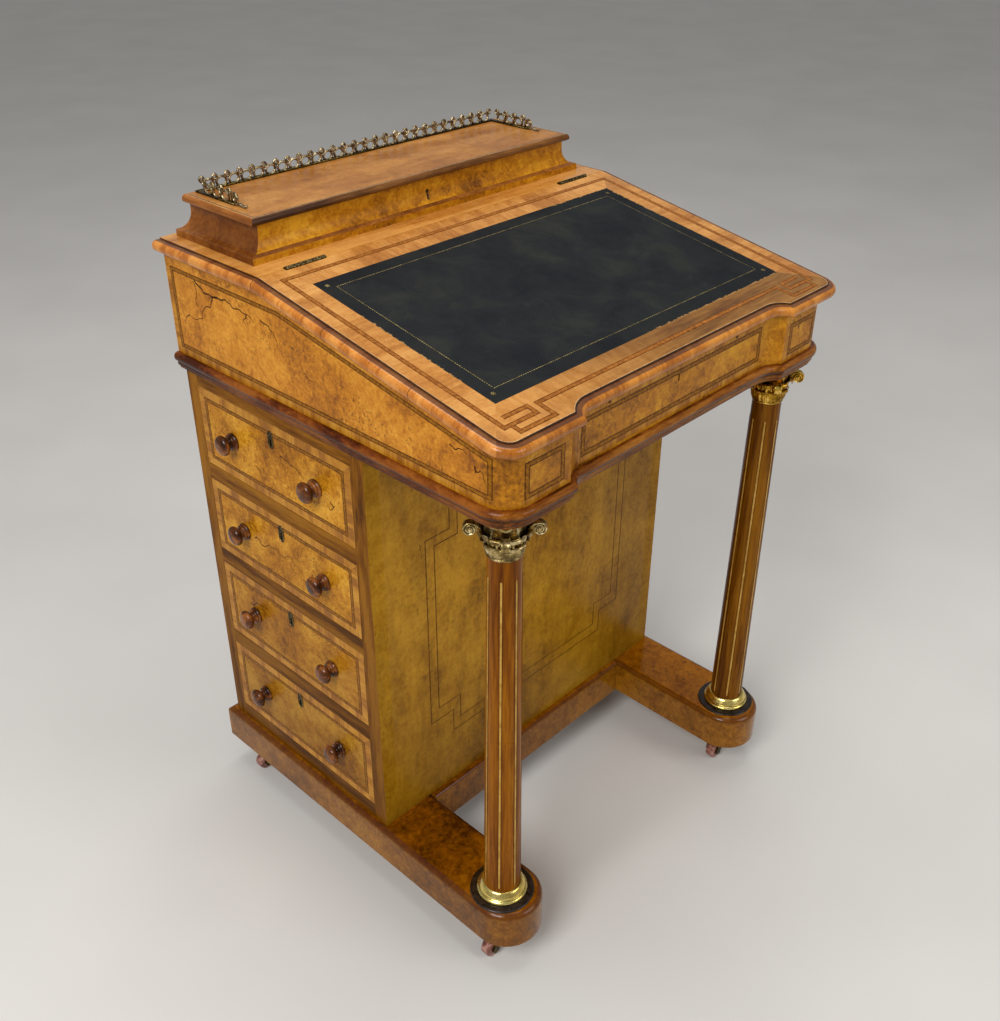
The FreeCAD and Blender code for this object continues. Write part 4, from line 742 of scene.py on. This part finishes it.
def across_at(before, here, after):
    """Across direction at a point of a path, mitred where the path turns."""
    normals = []
    for start, end in ((before, here), (here, after)):
        if start is not None and end is not None:
            run = Vector((end[0] - start[0], end[1] - start[1])).normalized()
            normals.append(Vector((-run.y, run.x)))
    if len(normals) == 1:
        return normals[0]
    return (normals[0] + normals[1]) / (1 + normals[0].dot(normals[1]))


def stations(path, closed=False):
    """Each point of a path with its across direction and its share of the way."""
    count = len(path)
    for number, here in enumerate(path):
        before = path[number - 1] if closed or number > 0 else None
        after = path[(number + 1) % count] if closed or number < count - 1 else None
        yield here, across_at(before, here, after), number / (count - 1)


def strip(builder, face, path, width, rise, closed=False, pick=0, thin=0.0):
    """Flat strip along a path on a face, let a little into it; thin is the share that its far end loses."""
    rings = []
    for here, normal, share in stations(path, closed):
        across = normal * width * (1 - thin * share) / 2
        place, right, up, out = face.frame(*here)
        sideways = right * across.x + up * across.y
        rings.append([place + sideways * side + out * height
                      for side, height in ((-1, rise), (1, rise), (1, -SINK), (-1, -SINK))])
    builder.loft(rings, wrap=closed, pick=pick)


def sweep(builder, path, section, place, closed=False, taper=0.0):
    """Skin of a section of (rise, out) points along a path; place turns (along, up, out) into a point."""
    rings = []
    for here, normal, share in stations(path, closed):
        size = 1 - taper * share
        rings.append([place(here[0] + normal.x * rise * size, here[1] + normal.y * rise * size, out * size)
                      for rise, out in section])
    builder.loft(rings, wrap=closed, rounded=True)


def circle(across, upward, radius, count):
    """Points round a circle."""
    turns = [2 * pi * number / count for number in range(count)]
    return [(across + radius * cos(turn), upward + radius * sin(turn)) for turn in turns]


def turned(builder, origin, axis, profile, count=28):
    """Turned form about an axis; the profile is (radius, height) points."""
    first = axis.orthogonal().normalized()
    second = axis.cross(first)
    rings = []
    for radius, height in profile:
        middle = Vector(origin) + axis * height
        rings.append([middle + (first * x + second * y) for x, y in circle(0, 0, radius, count)])
    builder.loft(rings, rounded=True)


def divided(path, step, closed=False):
    """The same path with points at most a step apart."""
    fine = []
    for start, end in zip(path, path[1:] + path[:1] if closed else path[1:]):
        count = max(1, ceil(dist(start, end) / step))
        for number in range(count):
            share = number / count
            fine.append((start[0] + (end[0] - start[0]) * share, start[1] + (end[1] - start[1]) * share))
    return fine if closed else fine + [path[-1]]


def curved(path, count=4):
    """Smooth curve through the points of a path, with so many spans between two of them."""
    ends = [path[0]] + path + [path[-1]]
    fine = []
    for number in range(len(path) - 1):
        corners = [Vector(point) for point in ends[number:number + 4]]
        for span in range(count):
            share = span / count
            weights = (-share + 2 * share ** 2 - share ** 3, 2 - 5 * share ** 2 + 3 * share ** 3,
                       share + 4 * share ** 2 - 3 * share ** 3, share ** 3 - share ** 2)
            parts = [corner * weight for corner, weight in zip(corners, weights)]
            fine.append(tuple(sum(parts, Vector((0, 0))) / 2))
    return fine + [path[-1]]


def rectangle(left, right, low, high):
    """Corners of a rectangle, going round."""
    return [(left, low), (right, low), (right, high), (left, high)]


def mirrored(path):
    """A path with its mirror image, joined at its end."""
    return path + [(-x, y) for x, y in reversed(path)]


def mm(*points):
    """Points given in millimetres."""
    return [(x / 1000, y / 1000) for x, y in points]


# ---- inlay ----

BANDS = "band_dark_edge band_brown_core"
CROSSBANDS = "crossband_grain_x crossband_grain_y crossband_grain_z"


def band(builder, face, path, closed=False, width=0.0056):
    """Inlaid band: dark edges and a brown middle."""
    strip(builder, face, path, width, BAND_RISE, closed, pick=0)
    strip(builder, face, path, width * 0.62, CORE_RISE, closed, pick=1)


def crossband(builder, face, path, width, closed=False):
    """Cross-grained border; the material of each length has its grain across it."""
    def grain_of(span):
        start, end = path[span], path[(span + 1) % len(path)]
        run = face.right * (end[0] - start[0]) + face.up * (end[1] - start[1])
        sizes = [abs(value) for value in run.cross(face.right.cross(face.up))]
        return sizes.index(max(sizes))
    strip(builder, face, path, width, CROSSBAND_RISE, closed, pick=grain_of)


def front_path(offset, rear):
    """Outline of the lid's plan in its own plane, from the right-hand rear end to the left-hand one."""
    half = HALF_DESK + offset
    face_y = -LID_LENGTH - offset
    corner = LID_CORNER + offset
    curve_x = HALF_DESK - BLOCK_WIDTH - RECESS_RUN
    radius = RECESS_RADIUS - offset
    curve_y = -LID_LENGTH + FRONT_RECESS - RECESS_RADIUS
    reach = asin(sqrt(radius ** 2 - (face_y - curve_y) ** 2) / radius)
    right = [(half, rear)]
    for number in range(9):
        angle = pi / 2 * number / 8
        right.append((half - corner + corner * cos(angle), face_y + corner - corner * sin(angle)))
    for number in range(9):
        angle = reach * (1 - number / 8)
        right.append((curve_x + radius * sin(angle), curve_y + radius * cos(angle)))
    return mirrored(right)


def lid_inlay():
    """Banding of the lid with a key at each front corner."""
    builder = Builder()
    side = mm((-244, -317), (-212, -317), (-212, -329), (-254, -329), (-254, -18))
    band(builder, LID, mirrored(side))
    band(builder, LID, mirrored(mm((-245.5, -330.5), (-245.5, -341), (-200, -341), (-200, -318.5))))
    builder.piece("lid_banding", "lid_band_edge lid_band_core", "slope_lid")


def quirks():
    """Painted shadow line in the step between each flat top and its nose, with a thin painted highlight line
    beside it on the lid and on the box lid.
    """
    finish, slot, end = "quirk_shadow_line rubbed_pale_line", "moulding_wood", 0.0005
    wide, narrow, drop = 0.0014, 0.0006, -0.0006
    lid = Builder()
    line = TOP_OVERHANG + 0.0006
    strip(lid, LID, front_path(line, -end), wide, drop)
    # painted highlight along the edge of the flat top, beside the shadow line
    strip(lid, LID, front_path(TOP_OVERHANG - 0.0005, -end), narrow, CROSSBAND_RISE, pick=1)
    lid.piece("lid_quirk", finish, "slope_lid", slot)
    top = Builder()
    for edge in (-HALF_DESK - line, HALF_DESK + line):
        strip(top, TOP, [(edge, TOP_BOX[0].y + end), (edge, Y_BACK - end)], wide, drop)
    top.piece("top_quirk", "quirk_shadow_line", "carcase", slot)
    box = Builder()
    low, high = BOX_LID_BOX
    # pick 0 is the painted shadow line, pick 1 the painted highlight
    for pick, inset, width in ((0, 0.0062, 0.0012), (1, 0.0053, narrow)):
        left_front, right_front, right_rear, left_rear = rectangle(
            low.x + inset, high.x - inset, low.y + inset - 0.0015, high.y - 0.004)
        path = [right_rear, right_front, left_front, left_rear]
        strip(box, Face((0, 0, high.z), RIGHT, BACK), path, width, BAND_RISE, pick=pick)
    box.piece("box_lid_quirk", finish, "box_lid", slot)


def side_inlay():
    """Band and crossbanding on both side panels of the desk box."""
    low, rear, front = Z_DESK + 0.0110, 0.248, 0.2408
    rear_top, below_slope, border, outset = Z_WALL_TOP - 0.0185, 0.0146, 0.0079, 0.0068
    knee = -SEAM.y + (Z_WALL_TOP - rear_top - below_slope) / tan(SLOPE)
    front_top = rear_top - (front - knee) * tan(SLOPE)
    points = [(front, low), (front, front_top), (knee, rear_top), (-rear, rear_top), (-rear, low)]
    back, foot = -rear - outset, low - outset
    edge = [(back, rear_top + outset), (back, foot), (front - 0.002, foot)]
    for name, face in SIDES.items():
        outer, inner = Builder(), Builder()
        crossband(outer, face, divided([(-face.sign * u, v) for u, v in edge], 0.006), border)
        outer.piece(f"desk_side_{name}_crossband", CROSSBANDS)
        band(inner, face, divided([(-face.sign * u, v) for u, v in points], 0.004, True), True, 0.0052)
        inner.piece(f"desk_side_{name}_band", BANDS)


def front_inlay():
    """Bands and light borders on the recessed front and its two end blocks."""
    outer, inner = Builder(), Builder()
    low, high, step = 0.6590, 0.6915, 0.004
    middle_panel = (-0.151, 0.151, low + 0.002, high + 0.005)
    for left, right, bottom, top in (middle_panel, (-0.243, -0.195, low, high), (0.195, 0.243, low, high)):
        border = rectangle(left - 0.0055, right + 0.0055, bottom - 0.0058, top + 0.0050)
        all_round = left < 0 < right
        if right < 0:
            border = border[:3]
        elif left > 0:
            border = [border[1], border[0], border[3]]
        crossband(outer, FRONT, divided(border, step, all_round), 0.0062, all_round)
        band(inner, FRONT, divided(rectangle(left, right, bottom, top), step, True), True, 0.0058)
    outer.piece("desk_front_crossband", CROSSBANDS)
    inner.piece("desk_front_band", BANDS)


def drawer_inlay():
    """Crossbanding and band round every drawer front, real and false."""
    inset, border, margin = 0.0130, 0.0098, 0.0005
    edge = border / 2 + margin
    for number in DRAWERS:
        low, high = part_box(f"drawer_{number}")
        for kind, body, slot, x, sign in (("drawer", f"drawer_{number}", "drawer_walnut", low.x, -1),
                                          ("false_drawer", "carcase", "burr_walnut", FALSE_FACE, 1)):
            face = drawer_face(x, sign)
            left, right = sorted((sign * low.y, sign * high.y))
            outer, inner = Builder(), Builder()
            frame_path = rectangle(left + edge, right - edge, low.z + 0.0006 + edge, high.z - edge)
            crossband(outer, face, frame_path, border, True)
            outer.piece(f"{kind}_{number}_crossband", CROSSBANDS, body, slot)
            band_path = rectangle(left + inset, right - inset, low.z + inset, high.z - inset)
            band(inner, face, band_path, True, 0.0050)
            inner.piece(f"{kind}_{number}_band", BANDS, body, slot)


def pedestal_inlay():
    """Thin stringing with stepped corners on the pedestal front."""
    builder = Builder()
    for neck, side, top, upper, lower, bottom in (
            (0.144, 0.182, 0.5475, 0.487, 0.215, 0.1805), (0.1315, 0.1685, 0.5345, 0.4745, 0.233, 0.197)):
        half = [(neck, bottom), (neck, lower), (side, lower), (side, upper), (neck, upper), (neck, top)]
        strip(builder, PEDESTAL, mirrored(half), 0.0013, BAND_RISE, closed=True)
    builder.piece("pedestal_stringing", "dark_line")


def column_stringing():
    """Seven light lines, each between two dark ones, let into each tapered column."""
    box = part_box("column_left")
    foot_z, head_z = box[0].z + BASE_HEIGHT, box[1].z - CAPITAL_HEIGHT
    foot_radius, head_radius = 0.0215, 0.0175
    low, high, lines, first = foot_z + 0.006, head_z - 0.0228, 7, 214
    for name in SIDES:
        middle = foot_of(f"column_{name}")
        builder = Builder()
        for line in range(lines):
            out = heading(radians(first + line * 360 / lines))
            side = UP.cross(out)
            for pick, half, rise in ((1, 0.0019, STRING_RISE), (0, 0.0011, STRING_RISE + 0.00005)):
                rings = []
                for part in range(1, 10):
                    turn = pi * part / 10
                    z = (low + high) / 2 - copysign((high - low) / 2, cos(turn))
                    z += half * copysign(1 - abs(cos(turn)), cos(turn))
                    radius = foot_radius + (head_radius - foot_radius) * (z - foot_z) / (head_z - foot_z)
                    place = Vector((*middle.xy, z))
                    reach = side * half * sin(turn)
                    rings.append([place + reach * way + out * (radius + height) for way, height in
                                  ((-1, rise), (1, rise), (1, -SINK), (-1, -SINK))])
                builder.loft(rings, pick=pick)
        builder.piece(f"column_{name}_stringing", "column_stringing dark_line", "carcase", "column_wood")


def gilt_tooling():
    """Dotted gilt line on the leather, with a small star outside each corner."""
    builder = Builder()
    half, rear, front = 0.216, -0.056, -0.279
    pitch, dash, ray = 0.0030, 0.0020, 0.0028
    corners = [Vector(corner) for corner in rectangle(-half, half, front, rear)]
    for first, last in zip(corners, corners[1:] + corners[:1]):
        run = (last - first).normalized()
        for number in range(round((last - first).length / pitch)):
            tail = first + run * pitch * number
            strip(builder, LID, [tuple(tail), tuple(tail + run * dash)], 0.0010, CROSSBAND_RISE)
    for x in (-0.223, 0.223):
        for y in (-0.0500, -0.2850):
            for number in range(4):
                reach = heading(radians(45 * number)) * ray
                ends = [(x - reach.x, y - reach.y), (x + reach.x, y + reach.y)]
                strip(builder, LID, ends, 0.0007, CROSSBAND_RISE)
    builder.piece("leather_gilt_tooling", "gilt_tooling", "slope_lid", "writing_leather")


# ---- turned and cast parts ----

def knobs():
    """Turned knobs with a domed head, waist and double-ringed collar, two to each drawer, real and false."""
    profile = mm((10.4, 0), (11, 0.8), (11, 2.2), (10, 3.2), (8.8, 3.7), (9.5, 4.5), (9.5, 5.7), (8.4, 6.6),
                 (6.8, 7.2), (5.9, 8.4), (6.1, 9.6), (8.2, 10.8), (10.8, 12), (12.2, 13.6), (12.5, 15),
                 (12.1, 16.8), (10.8, 18.6), (8.6, 20), (5.6, 20.7), (2, 21))
    head = 0.0125
    false_ones = Builder()
    for number in DRAWERS:
        low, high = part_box(f"drawer_{number}_knobs")
        face_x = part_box(f"drawer_{number}")[0].x
        level = (low.z + high.z) / 2
        real_ones = Builder()
        for y in (low.y + head, high.y - head):
            turned(real_ones, (face_x, y, level), -RIGHT, profile, 32)
            turned(false_ones, (FALSE_FACE, y, level), RIGHT, profile, 32)
        real_ones.piece(f"drawer_{number}_turned_knobs", "turned_knob_wood", f"drawer_{number}", "knob_wood",
                        [f"drawer_{number}_knobs"])
    false_ones.piece("false_turned_knobs", "turned_knob_wood", "carcase", "knob_wood", ["false_drawer_knobs"])


def rounded_outline(across, upward, half_width, half_height, width_power=1.0, height_power=1.0, count=24):
    """Ellipse, or with powers below 1 a form between it and a rectangle."""
    turns = [2 * pi * (number + 0.5) / count for number in range(count)]
    return [(across + half_width * copysign(abs(cos(turn)) ** width_power, cos(turn)),
             upward + half_height * copysign(abs(sin(turn)) ** height_power, sin(turn))) for turn in turns]


def escutcheon(builder, face, middle, level):
    """Keyhole plate let into a drawer front, with a slot over its keyhole and a raised brass rim."""
    foot, top, rise = -0.0104, 0.0106, 0.0003
    rim = rounded_outline(middle, level + (foot + top) / 2, 0.0046, (top - foot) / 2, 0.7, 0.8)
    slot = rounded_outline(middle, level - 0.0032, 0.0018, 0.0054)
    rings = [[face.point(*point, out) for point in outline]
             for outline, out in ((rim, rise), (slot, rise), (slot, -SINK), (rim, -SINK))]
    builder.loft(rings, wrap=True, pick=1)
    sweep(builder, rim, circle(0, 0.0002, 0.0007, 8), face.point, closed=True)


def escutcheons():
    """Plates round the keyholes of the drawers, real and false."""
    finish, drop = "hinge_brass aged_brass", 0.0207
    false_ones = Builder()
    for number in DRAWERS:
        low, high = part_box(f"drawer_{number}")
        middle, level = (low.y + high.y) / 2, high.z - drop
        plate = Builder()
        escutcheon(plate, drawer_face(low.x, -1), -middle, level)
        plate.piece(f"drawer_{number}_escutcheon", finish, f"drawer_{number}", "aged_brass")
        escutcheon(false_ones, drawer_face(FALSE_FACE, 1), middle, level)
    false_ones.piece("false_escutcheon_plates", finish, "carcase", "aged_brass")


def box_escutcheon():
    """Brass lining of the stationery box's keyhole, which follows the cove that the keyhole cuts."""
    plinth, cove_height, lip_depth, lip_height = 0.0070, 0.0190, 0.0015, 0.00075
    box_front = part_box("box_walls")[0].y
    cove_depth = box_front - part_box("box_plinth")[0].y - lip_depth
    level, head, slot, foot, rim = 0.0220, 0.0018, 0.0010, -0.0082, 0.0005

    def place(across, upward, out):
        rise = min(1.0, max(0.0, (upward - plinth - lip_height) / cove_height))
        depth = cove_depth * (1 - sqrt(1 - (1 - rise) ** 2))
        return Vector((across, box_front - depth - out, TOP_BOX[1].z + upward))

    start = -asin(slot / head)
    turns = [start + (pi - 2 * start) * number / 10 for number in range(11)]
    arch = [((head + rim) * cos(turn), level + (head + rim) * sin(turn)) for turn in turns]
    edge, bottom = slot + rim, level + foot - rim
    builder = Builder()
    sweep(builder, divided([(edge, bottom)] + arch + [(-edge, bottom)], 0.001, True), circle(0, 0, rim, 6),
          place, closed=True)
    builder.piece("box_escutcheon", "antique_gilt", "carcase", "aged_brass")


def column_feet():
    """Under each column a brass base, a flared ring over a round one, on a thin black disc."""
    base = mm((21.2, 16.5), (22.8, 16.5), (23.8, 15.8), (25, 14), (26.4, 11.5), (27.6, 9.6), (27.7, 8.8),
              (27, 8.3), (26.2, 7.9), (26.4, 7.2), (28, 6.8), (29.4, 5.8), (30, 4.4), (29.7, 3), (28.8, 2),
              (28.4, 1.6), (21.2, 1.6))
    disc = mm((21.2, 1.7), (36.6, 1.7), (37.6, 1.3), (38, 0.6), (38, 0), (21.2, 0))
    bases, discs = Builder(), Builder()
    for name in SIDES:
        foot = Vector((*foot_of(f"column_{name}").xy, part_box("column_discs")[0].z))
        turned(bases, foot, UP, base, 64)
        turned(discs, foot, UP, disc, 64)
    bases.piece("column_base_rings", "polished_brass", "carcase", "polished_brass", ["column_bases"])
    discs.piece("column_disc_turnings", "ebonised_disc", "carcase", "ebonised_wood", ["column_discs"])


def front_plugs():
    """Two small plugs over old screw holes in the desk front."""
    builder = Builder()
    for x in (-0.113, 0.103):
        turned(builder, (x, Y_BLOCK + FRONT_RECESS, 0.703), -BACK,
               [(0.0022, -SINK), (0.0022, BAND_RISE), (0.0016, BAND_RISE * 1.5)], 16)
    builder.piece("desk_front_plugs", "band_dark_edge")


# ---- dark veins in the burr ----

def vein(builder, face, path, width, seed, wander=0.20):
    """Crooked dark vein through the points of a path, thinning out to its far end."""
    draw = random.Random(seed)
    for halving in range(3):
        finer = []
        for first, last in zip(path, path[1:]):
            off = draw.uniform(-wander, wander)
            finer.append(first)
            finer.append(((first[0] + last[0]) / 2 - (last[1] - first[1]) * off,
                          (first[1] + last[1]) / 2 + (last[0] - first[0]) * off))
        path = finer + [path[-1]]
    strip(builder, face, path, width, VEIN_RISE, thin=0.75)


def side_veins():
    """Veins of the desk's sides; the right side has the left side's, turned about and a little lower."""
    builder = Builder()
    for width, *points in ((1.6, (-205, 750), (-169, 738.7), (-179, 724.3), (-224, 703.7)),
                           (1.4, (-169, 738.7), (-144, 739.9), (-111, 735.6), (-100, 729.1)),
                           (1.0, (-207, 747), (-206.6, 726.6), (-203, 718)),
                           (0.8, (-224, 703.7), (-236, 689.9)),
                           (0.9, (-111, 735.6), (-118, 727), (-113, 721)),
                           (1.1, (-86.7, 736.8), (-72.7, 733.3), (-65.1, 726.1), (-60, 712)),
                           (0.8, (-20.9, 697.9), (-2.3, 692.5)),
                           (1.1, (190.6, 695.8), (202, 696), (214.1, 694.2)),
                           (1.3, (222.5, 685.8), (224, 680), (229, 683.5), (235, 674))):
        path, seed = mm(*points), round(width * 100)
        vein(builder, SIDES["left"], path, width * 0.0015, len(path) + seed)
        vein(builder, SIDES["right"], [(-u, v - 0.008) for u, v in path], width * 0.0012, 40 + seed)
    builder.piece("desk_side_veins", "dark_vein")


def front_veins():
    """Veins of the drawers and of the pedestal's front."""
    for number, paths in ((1, (((-88.5, 572.7), (-65.3, 569.3), (-46.1, 560.2)),
                               ((-137.6, 540.6), (-129, 535.2)),
                               ((-3, 549.3), (3, 546), (-3, 539), (-9, 544)))),
                          (2, (((-160.6, 432.2), (-144.7, 427.5), (-105, 430), (-68.1, 423.5)),
                               ((-170, 450), (-159, 442)))),
                          (3, (((-190, 320), (-165, 327), (-150, 318)),)),
                          (4, (((-30, 190), (-10, 185), (-2, 172)),))):
        builder = Builder()
        face = drawer_face(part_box(f"drawer_{number}")[0].x, -1)
        for order, points in enumerate(paths):
            vein(builder, face, mm(*points), 0.0015, number * 10 + order, 0.3)
        builder.piece(f"drawer_{number}_veins", "dark_vein", f"drawer_{number}", "drawer_walnut")
    builder = Builder()
    vein(builder, PEDESTAL, mm((-190.7, 486.9), (-188, 476), (-188.9, 466.1)), 0.0009, 61)
    vein(builder, PEDESTAL, mm((-1.8, 441.9), (6, 398), (10.3, 350.7)), 0.0009, 62)
    builder.piece("pedestal_veins", "dark_vein")


# ---- column capitals ----

def leaf(builder, foot, angle, path, half_width, lobes):
    """Acanthus leaf: a lobed and ribbed tongue that follows a path of (radius, height)."""
    cells, thickness, ribs = 10, 0.0010, 0.00065
    rings = []
    for (radius, height), normal, share in stations(curved(path)):
        reach = half_width * (1 - 0.7 * share ** 3) * (1 + 0.14 * cos(share * lobes * 2 * pi))
        outer, inner = [], []
        for cell in range(cells + 1):
            across = 2 * cell / cells - 1
            fold = ribs * cos(3 * pi * across) - ribs * across ** 2
            out = heading(angle + across * reach / radius)
            for points, depth in ((outer, -fold), (inner, thickness)):
                points.append(foot + out * (radius + normal.x * depth) + UP * (height + normal.y * depth))
        rings.append(outer + inner[::-1])
    builder.loft(rings, rounded=True)


def volute(builder, foot, angle):
    """Corner scroll: a ribbed ribbon that rises from the bell and rolls up, with its web and eye."""
    out = heading(angle)
    side = UP.cross(out)

    def place(along, up, across):
        return foot + out * along + side * across + UP * up

    reach, level, radius, half, eye = 0.0332, 0.0290, 0.0074, 0.0045, 0.0019
    rolls, steps = 2.1, 44
    path = curved(mm((19, 15), (20.4, 23), (23.6, 31), (28.5, 35.5)))
    for number in range(steps + 1):
        turn = pi / 2 - 2 * pi * rolls * number / steps
        size = radius + (eye - radius) * number / steps
        path.append((reach + size * cos(turn), level + size * sin(turn)))
    ribs = ((0, -1), (0.5, -0.75), (-0.3, -0.45), (0.5, 0), (-0.3, 0.45), (0.5, 0.75), (0, 1),
            (-1.3, 1), (-1.3, -1))
    sweep(builder, path, [(rise / 1000, across * half) for rise, across in ribs], place, taper=0.1)
    web, middle, hub = half * 0.62, place(reach, level, 0), 0.0012
    turned(builder, middle, side, [(radius - 0.001, -web), (radius - 0.001, web)])
    boss = [(hub, -half - 0.0004), (eye, -half), (eye, half), (hub, half + 0.0004)]
    turned(builder, middle, side, boss, 14)


def capital(name, finish):
    """Composite capital: ring, two tiers of leaves, bell, corner scrolls and hollow-sided abacus."""
    foot = foot_of(f"column_capital_{name}")
    builder = Builder()
    bell = mm((16.8, 0), (18.3, 0.6), (18.8, 1.8), (18.3, 3), (17.2, 3.6), (17.4, 7), (18.4, 12), (19, 17),
              (19.8, 20), (20, 26), (20.6, 32), (21.8, 38), (24.2, 42.5), (24.8, 44.5), (23.5, 45.5))
    flower = mm((3.4, -2), (4.4, 0.8), (3.6, 2.2), (1.6, 2.6), (1.4, 3.6))
    lower = mm((18.6, 3.4), (20.2, 8), (20.4, 13), (21.6, 16.8), (22.8, 16.6), (22.6, 15))
    upper = mm((20.6, 17), (21.4, 21.5), (22.6, 25.8), (24.8, 28.8), (26.4, 28), (26, 26))
    turned(builder, foot, UP, bell, 40)
    leaves, count = 8, 48
    for number in range(leaves):
        turn = 2 * pi * number / leaves
        leaf(builder, foot, turn, lower, 0.0080, 3)
        leaf(builder, foot, turn + pi / leaves, lower[:4], 0.0046, 2)
        leaf(builder, foot, turn + pi / leaves, upper, 0.0084, 2)
    for corner in range(4):
        volute(builder, foot, radians(45 + 90 * corner))
        out = heading(radians(90 * corner))
        turned(builder, foot + out * 0.0225 + UP * 0.0475, out, flower, 10)
    rings = []
    for height, size in ((0.0445, 0.93), (0.0458, 1.0), (0.0484, 1.0), (0.0490, 0.94), (0.0540, 0.94)):
        turns = [2 * pi * number / count for number in range(count)]
        rings.append([foot + heading(turn) * (0.0225 + 0.0135 * abs(sin(2 * turn)) ** 5) * size + UP * height
                      for turn in turns])
    builder.loft(rings)
    builder.piece(f"capital_{name}_ornament", finish, "carcase", "gilt_metal", [f"column_capital_{name}"])


# ---- gallery ----

WIRE = circle(0, 0, 0.00145, 8)


def gallery_run(builder, place, first, count, pitch):
    """A row of motifs: an oval between each two posts, and a small ring on every post."""
    for number in range(count):
        middle = first + number * pitch
        sweep(builder, circle(middle, 0.0128, 0.0026, 14), WIRE, place, closed=True)
        if number < count - 1:
            oval = [(across, 0.0064 + up * 0.8) for across, up in circle(middle + pitch / 2, 0, 0.0065, 20)]
            sweep(builder, oval, WIRE, place, closed=True)


def gallery():
    """Pierced gallery along the rear of the box lid, with an arm at each end that dies out in a scroll."""
    low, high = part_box("gallery")
    half, rear = high.x - 0.003, high.y - 0.003
    arm, foot, half_bar = 0.066, low.z, 0.003
    bars, builder = Builder(), Builder()
    bar = [(0.0020, -half_bar), (0.0020, half_bar), (0, half_bar), (0, -half_bar)]

    def along_rear(along, up, out):
        return Vector((along, rear + out, foot + up))

    sweep(bars, [(-half - half_bar, 0), (half + half_bar, 0)], bar, along_rear)
    corner, count = 0.0045, 28
    gallery_run(builder, along_rear, -half + corner, count, 2 * (half - corner) / (count - 1))
    curl = [(arm - 0.0050, 0.0012)]
    for number in range(25):
        turn = radians(200 - 24 * number)
        size = 0.0056 * (1 - 0.62 * number / 24)
        curl.append((arm + 0.0015 + size * cos(turn), 0.0072 + size * sin(turn)))
    tail = curved(mm((67, 1), (74, 2.2), (81, 1.1), (86, 1.6), (87.2, 2.8), (86, 3.4)))
    leaf_section = mm((1, -2.2), (1, 2.2), (-0.8, 2.2), (-0.8, -2.2))
    for side in (-1, 1):
        def along_arm(along, up, out, side=side):
            return Vector((side * (half + out), rear - along, foot + up))

        sweep(bars, [(half_bar, 0), (arm + 0.003, 0)], bar, along_arm)
        gallery_run(builder, along_arm, 0.0112, 4, 0.0155)
        sweep(builder, curl, WIRE, along_arm)
        sweep(builder, tail, leaf_section, along_arm, taper=0.6)
    bars.piece("gallery_base_bars", "aged_brass", "box_lid", "aged_brass")
    builder.piece("gallery_scrollwork", "gallery_brass", "box_lid", "aged_brass", ["gallery"])


# ---- camera, lights and floor ----

def photograph_camera():
    """Camera at the photograph's angle and distance."""
    azimuth, elevation = radians(46.05), radians(31.6)
    right = Vector((cos(azimuth), -sin(azimuth), 0))
    back = Vector((-sin(azimuth) * cos(elevation), -cos(azimuth) * cos(elevation), sin(elevation)))
    data = bpy.data.cameras.new("photograph_camera")
    data.sensor_fit = "HORIZONTAL"
    data.sensor_width = 36.0
    data.lens = 40.85
    data.shift_x = 0.0081
    data.shift_y = -0.0067
    camera = bpy.data.objects.new("photograph_camera", data)
    bpy.context.scene.collection.objects.link(camera)
    turn = Matrix((right, back.cross(right), back)).transposed().to_4x4()
    camera.matrix_world = Matrix.Translation((-0.8910, -0.84327, 1.1867)) @ turn
    bpy.context.scene.camera = camera


def lamp(name, place, aim, size, power):
    """Square soft light."""
    data = bpy.data.lights.new(name, "AREA")
    data.size = size
    data.energy = power
    light = bpy.data.objects.new(name, data)
    light.location = place
    light.rotation_euler = (Vector(aim) - Vector(place)).to_track_quat("-Z", "Y").to_euler()
    bpy.context.scene.collection.objects.link(light)


def studio():
    """Pale floor, pale surroundings and soft lights."""
    size = 30.0
    mesh = bpy.data.meshes.new("studio_floor")
    mesh.from_pydata([(x, y, 0) for x, y in rectangle(-size, size, -size, size)], [], [(0, 1, 2, 3)])
    floor = bpy.data.objects.new("studio_floor", mesh)
    bpy.context.scene.collection.objects.link(floor)
    shade = Shade("studio_floor_pale")
    colour = shade.ramp(shade.noise(3), (0.3, 0.7), tones((206, 203, 198), (212, 209, 204)))
    shade.fill(shade.shader, Base_Color=colour, Roughness=0.8)
    mesh.materials.append(shade.material)
    world = bpy.data.worlds.new("studio_surroundings")
    bpy.context.scene.world = world
    world.use_nodes = True
    background = world.node_tree.nodes["Background"]
    background.inputs["Color"].default_value = (0.88, 0.88, 0.88, 1)
    background.inputs["Strength"].default_value = 0.36
    lamp("key_light", (-2.4, -0.7, 2.5), (0, 0, 0.5), 1.4, 70)
    lamp("front_light", (0.9, -2.8, 1.9), (0, 0, 0.5), 1.6, 27)
    lamp("top_light", (0.1, 0.2, 3.0), (0, 0, 0.4), 1.6, 31)
    bpy.context.scene.view_settings.view_transform = "Standard"


# ---- the whole desk ----

def main():
    """Dress the frame, add its finish, and set up the view."""
    photograph_camera()
    studio()
    make_woods()
    make_small_woods()
    make_metals()
    dress_all()
    lid_inlay()
    quirks()
    side_inlay()
    front_inlay()
    drawer_inlay()
    pedestal_inlay()
    column_stringing()
    gilt_tooling()
    knobs()
    escutcheons()
    box_escutcheon()
    column_feet()
    front_plugs()
    side_veins()
    front_veins()
    capital("left", "antique_gilt")
    capital("right", "bright_gilt")
    gallery()


main()
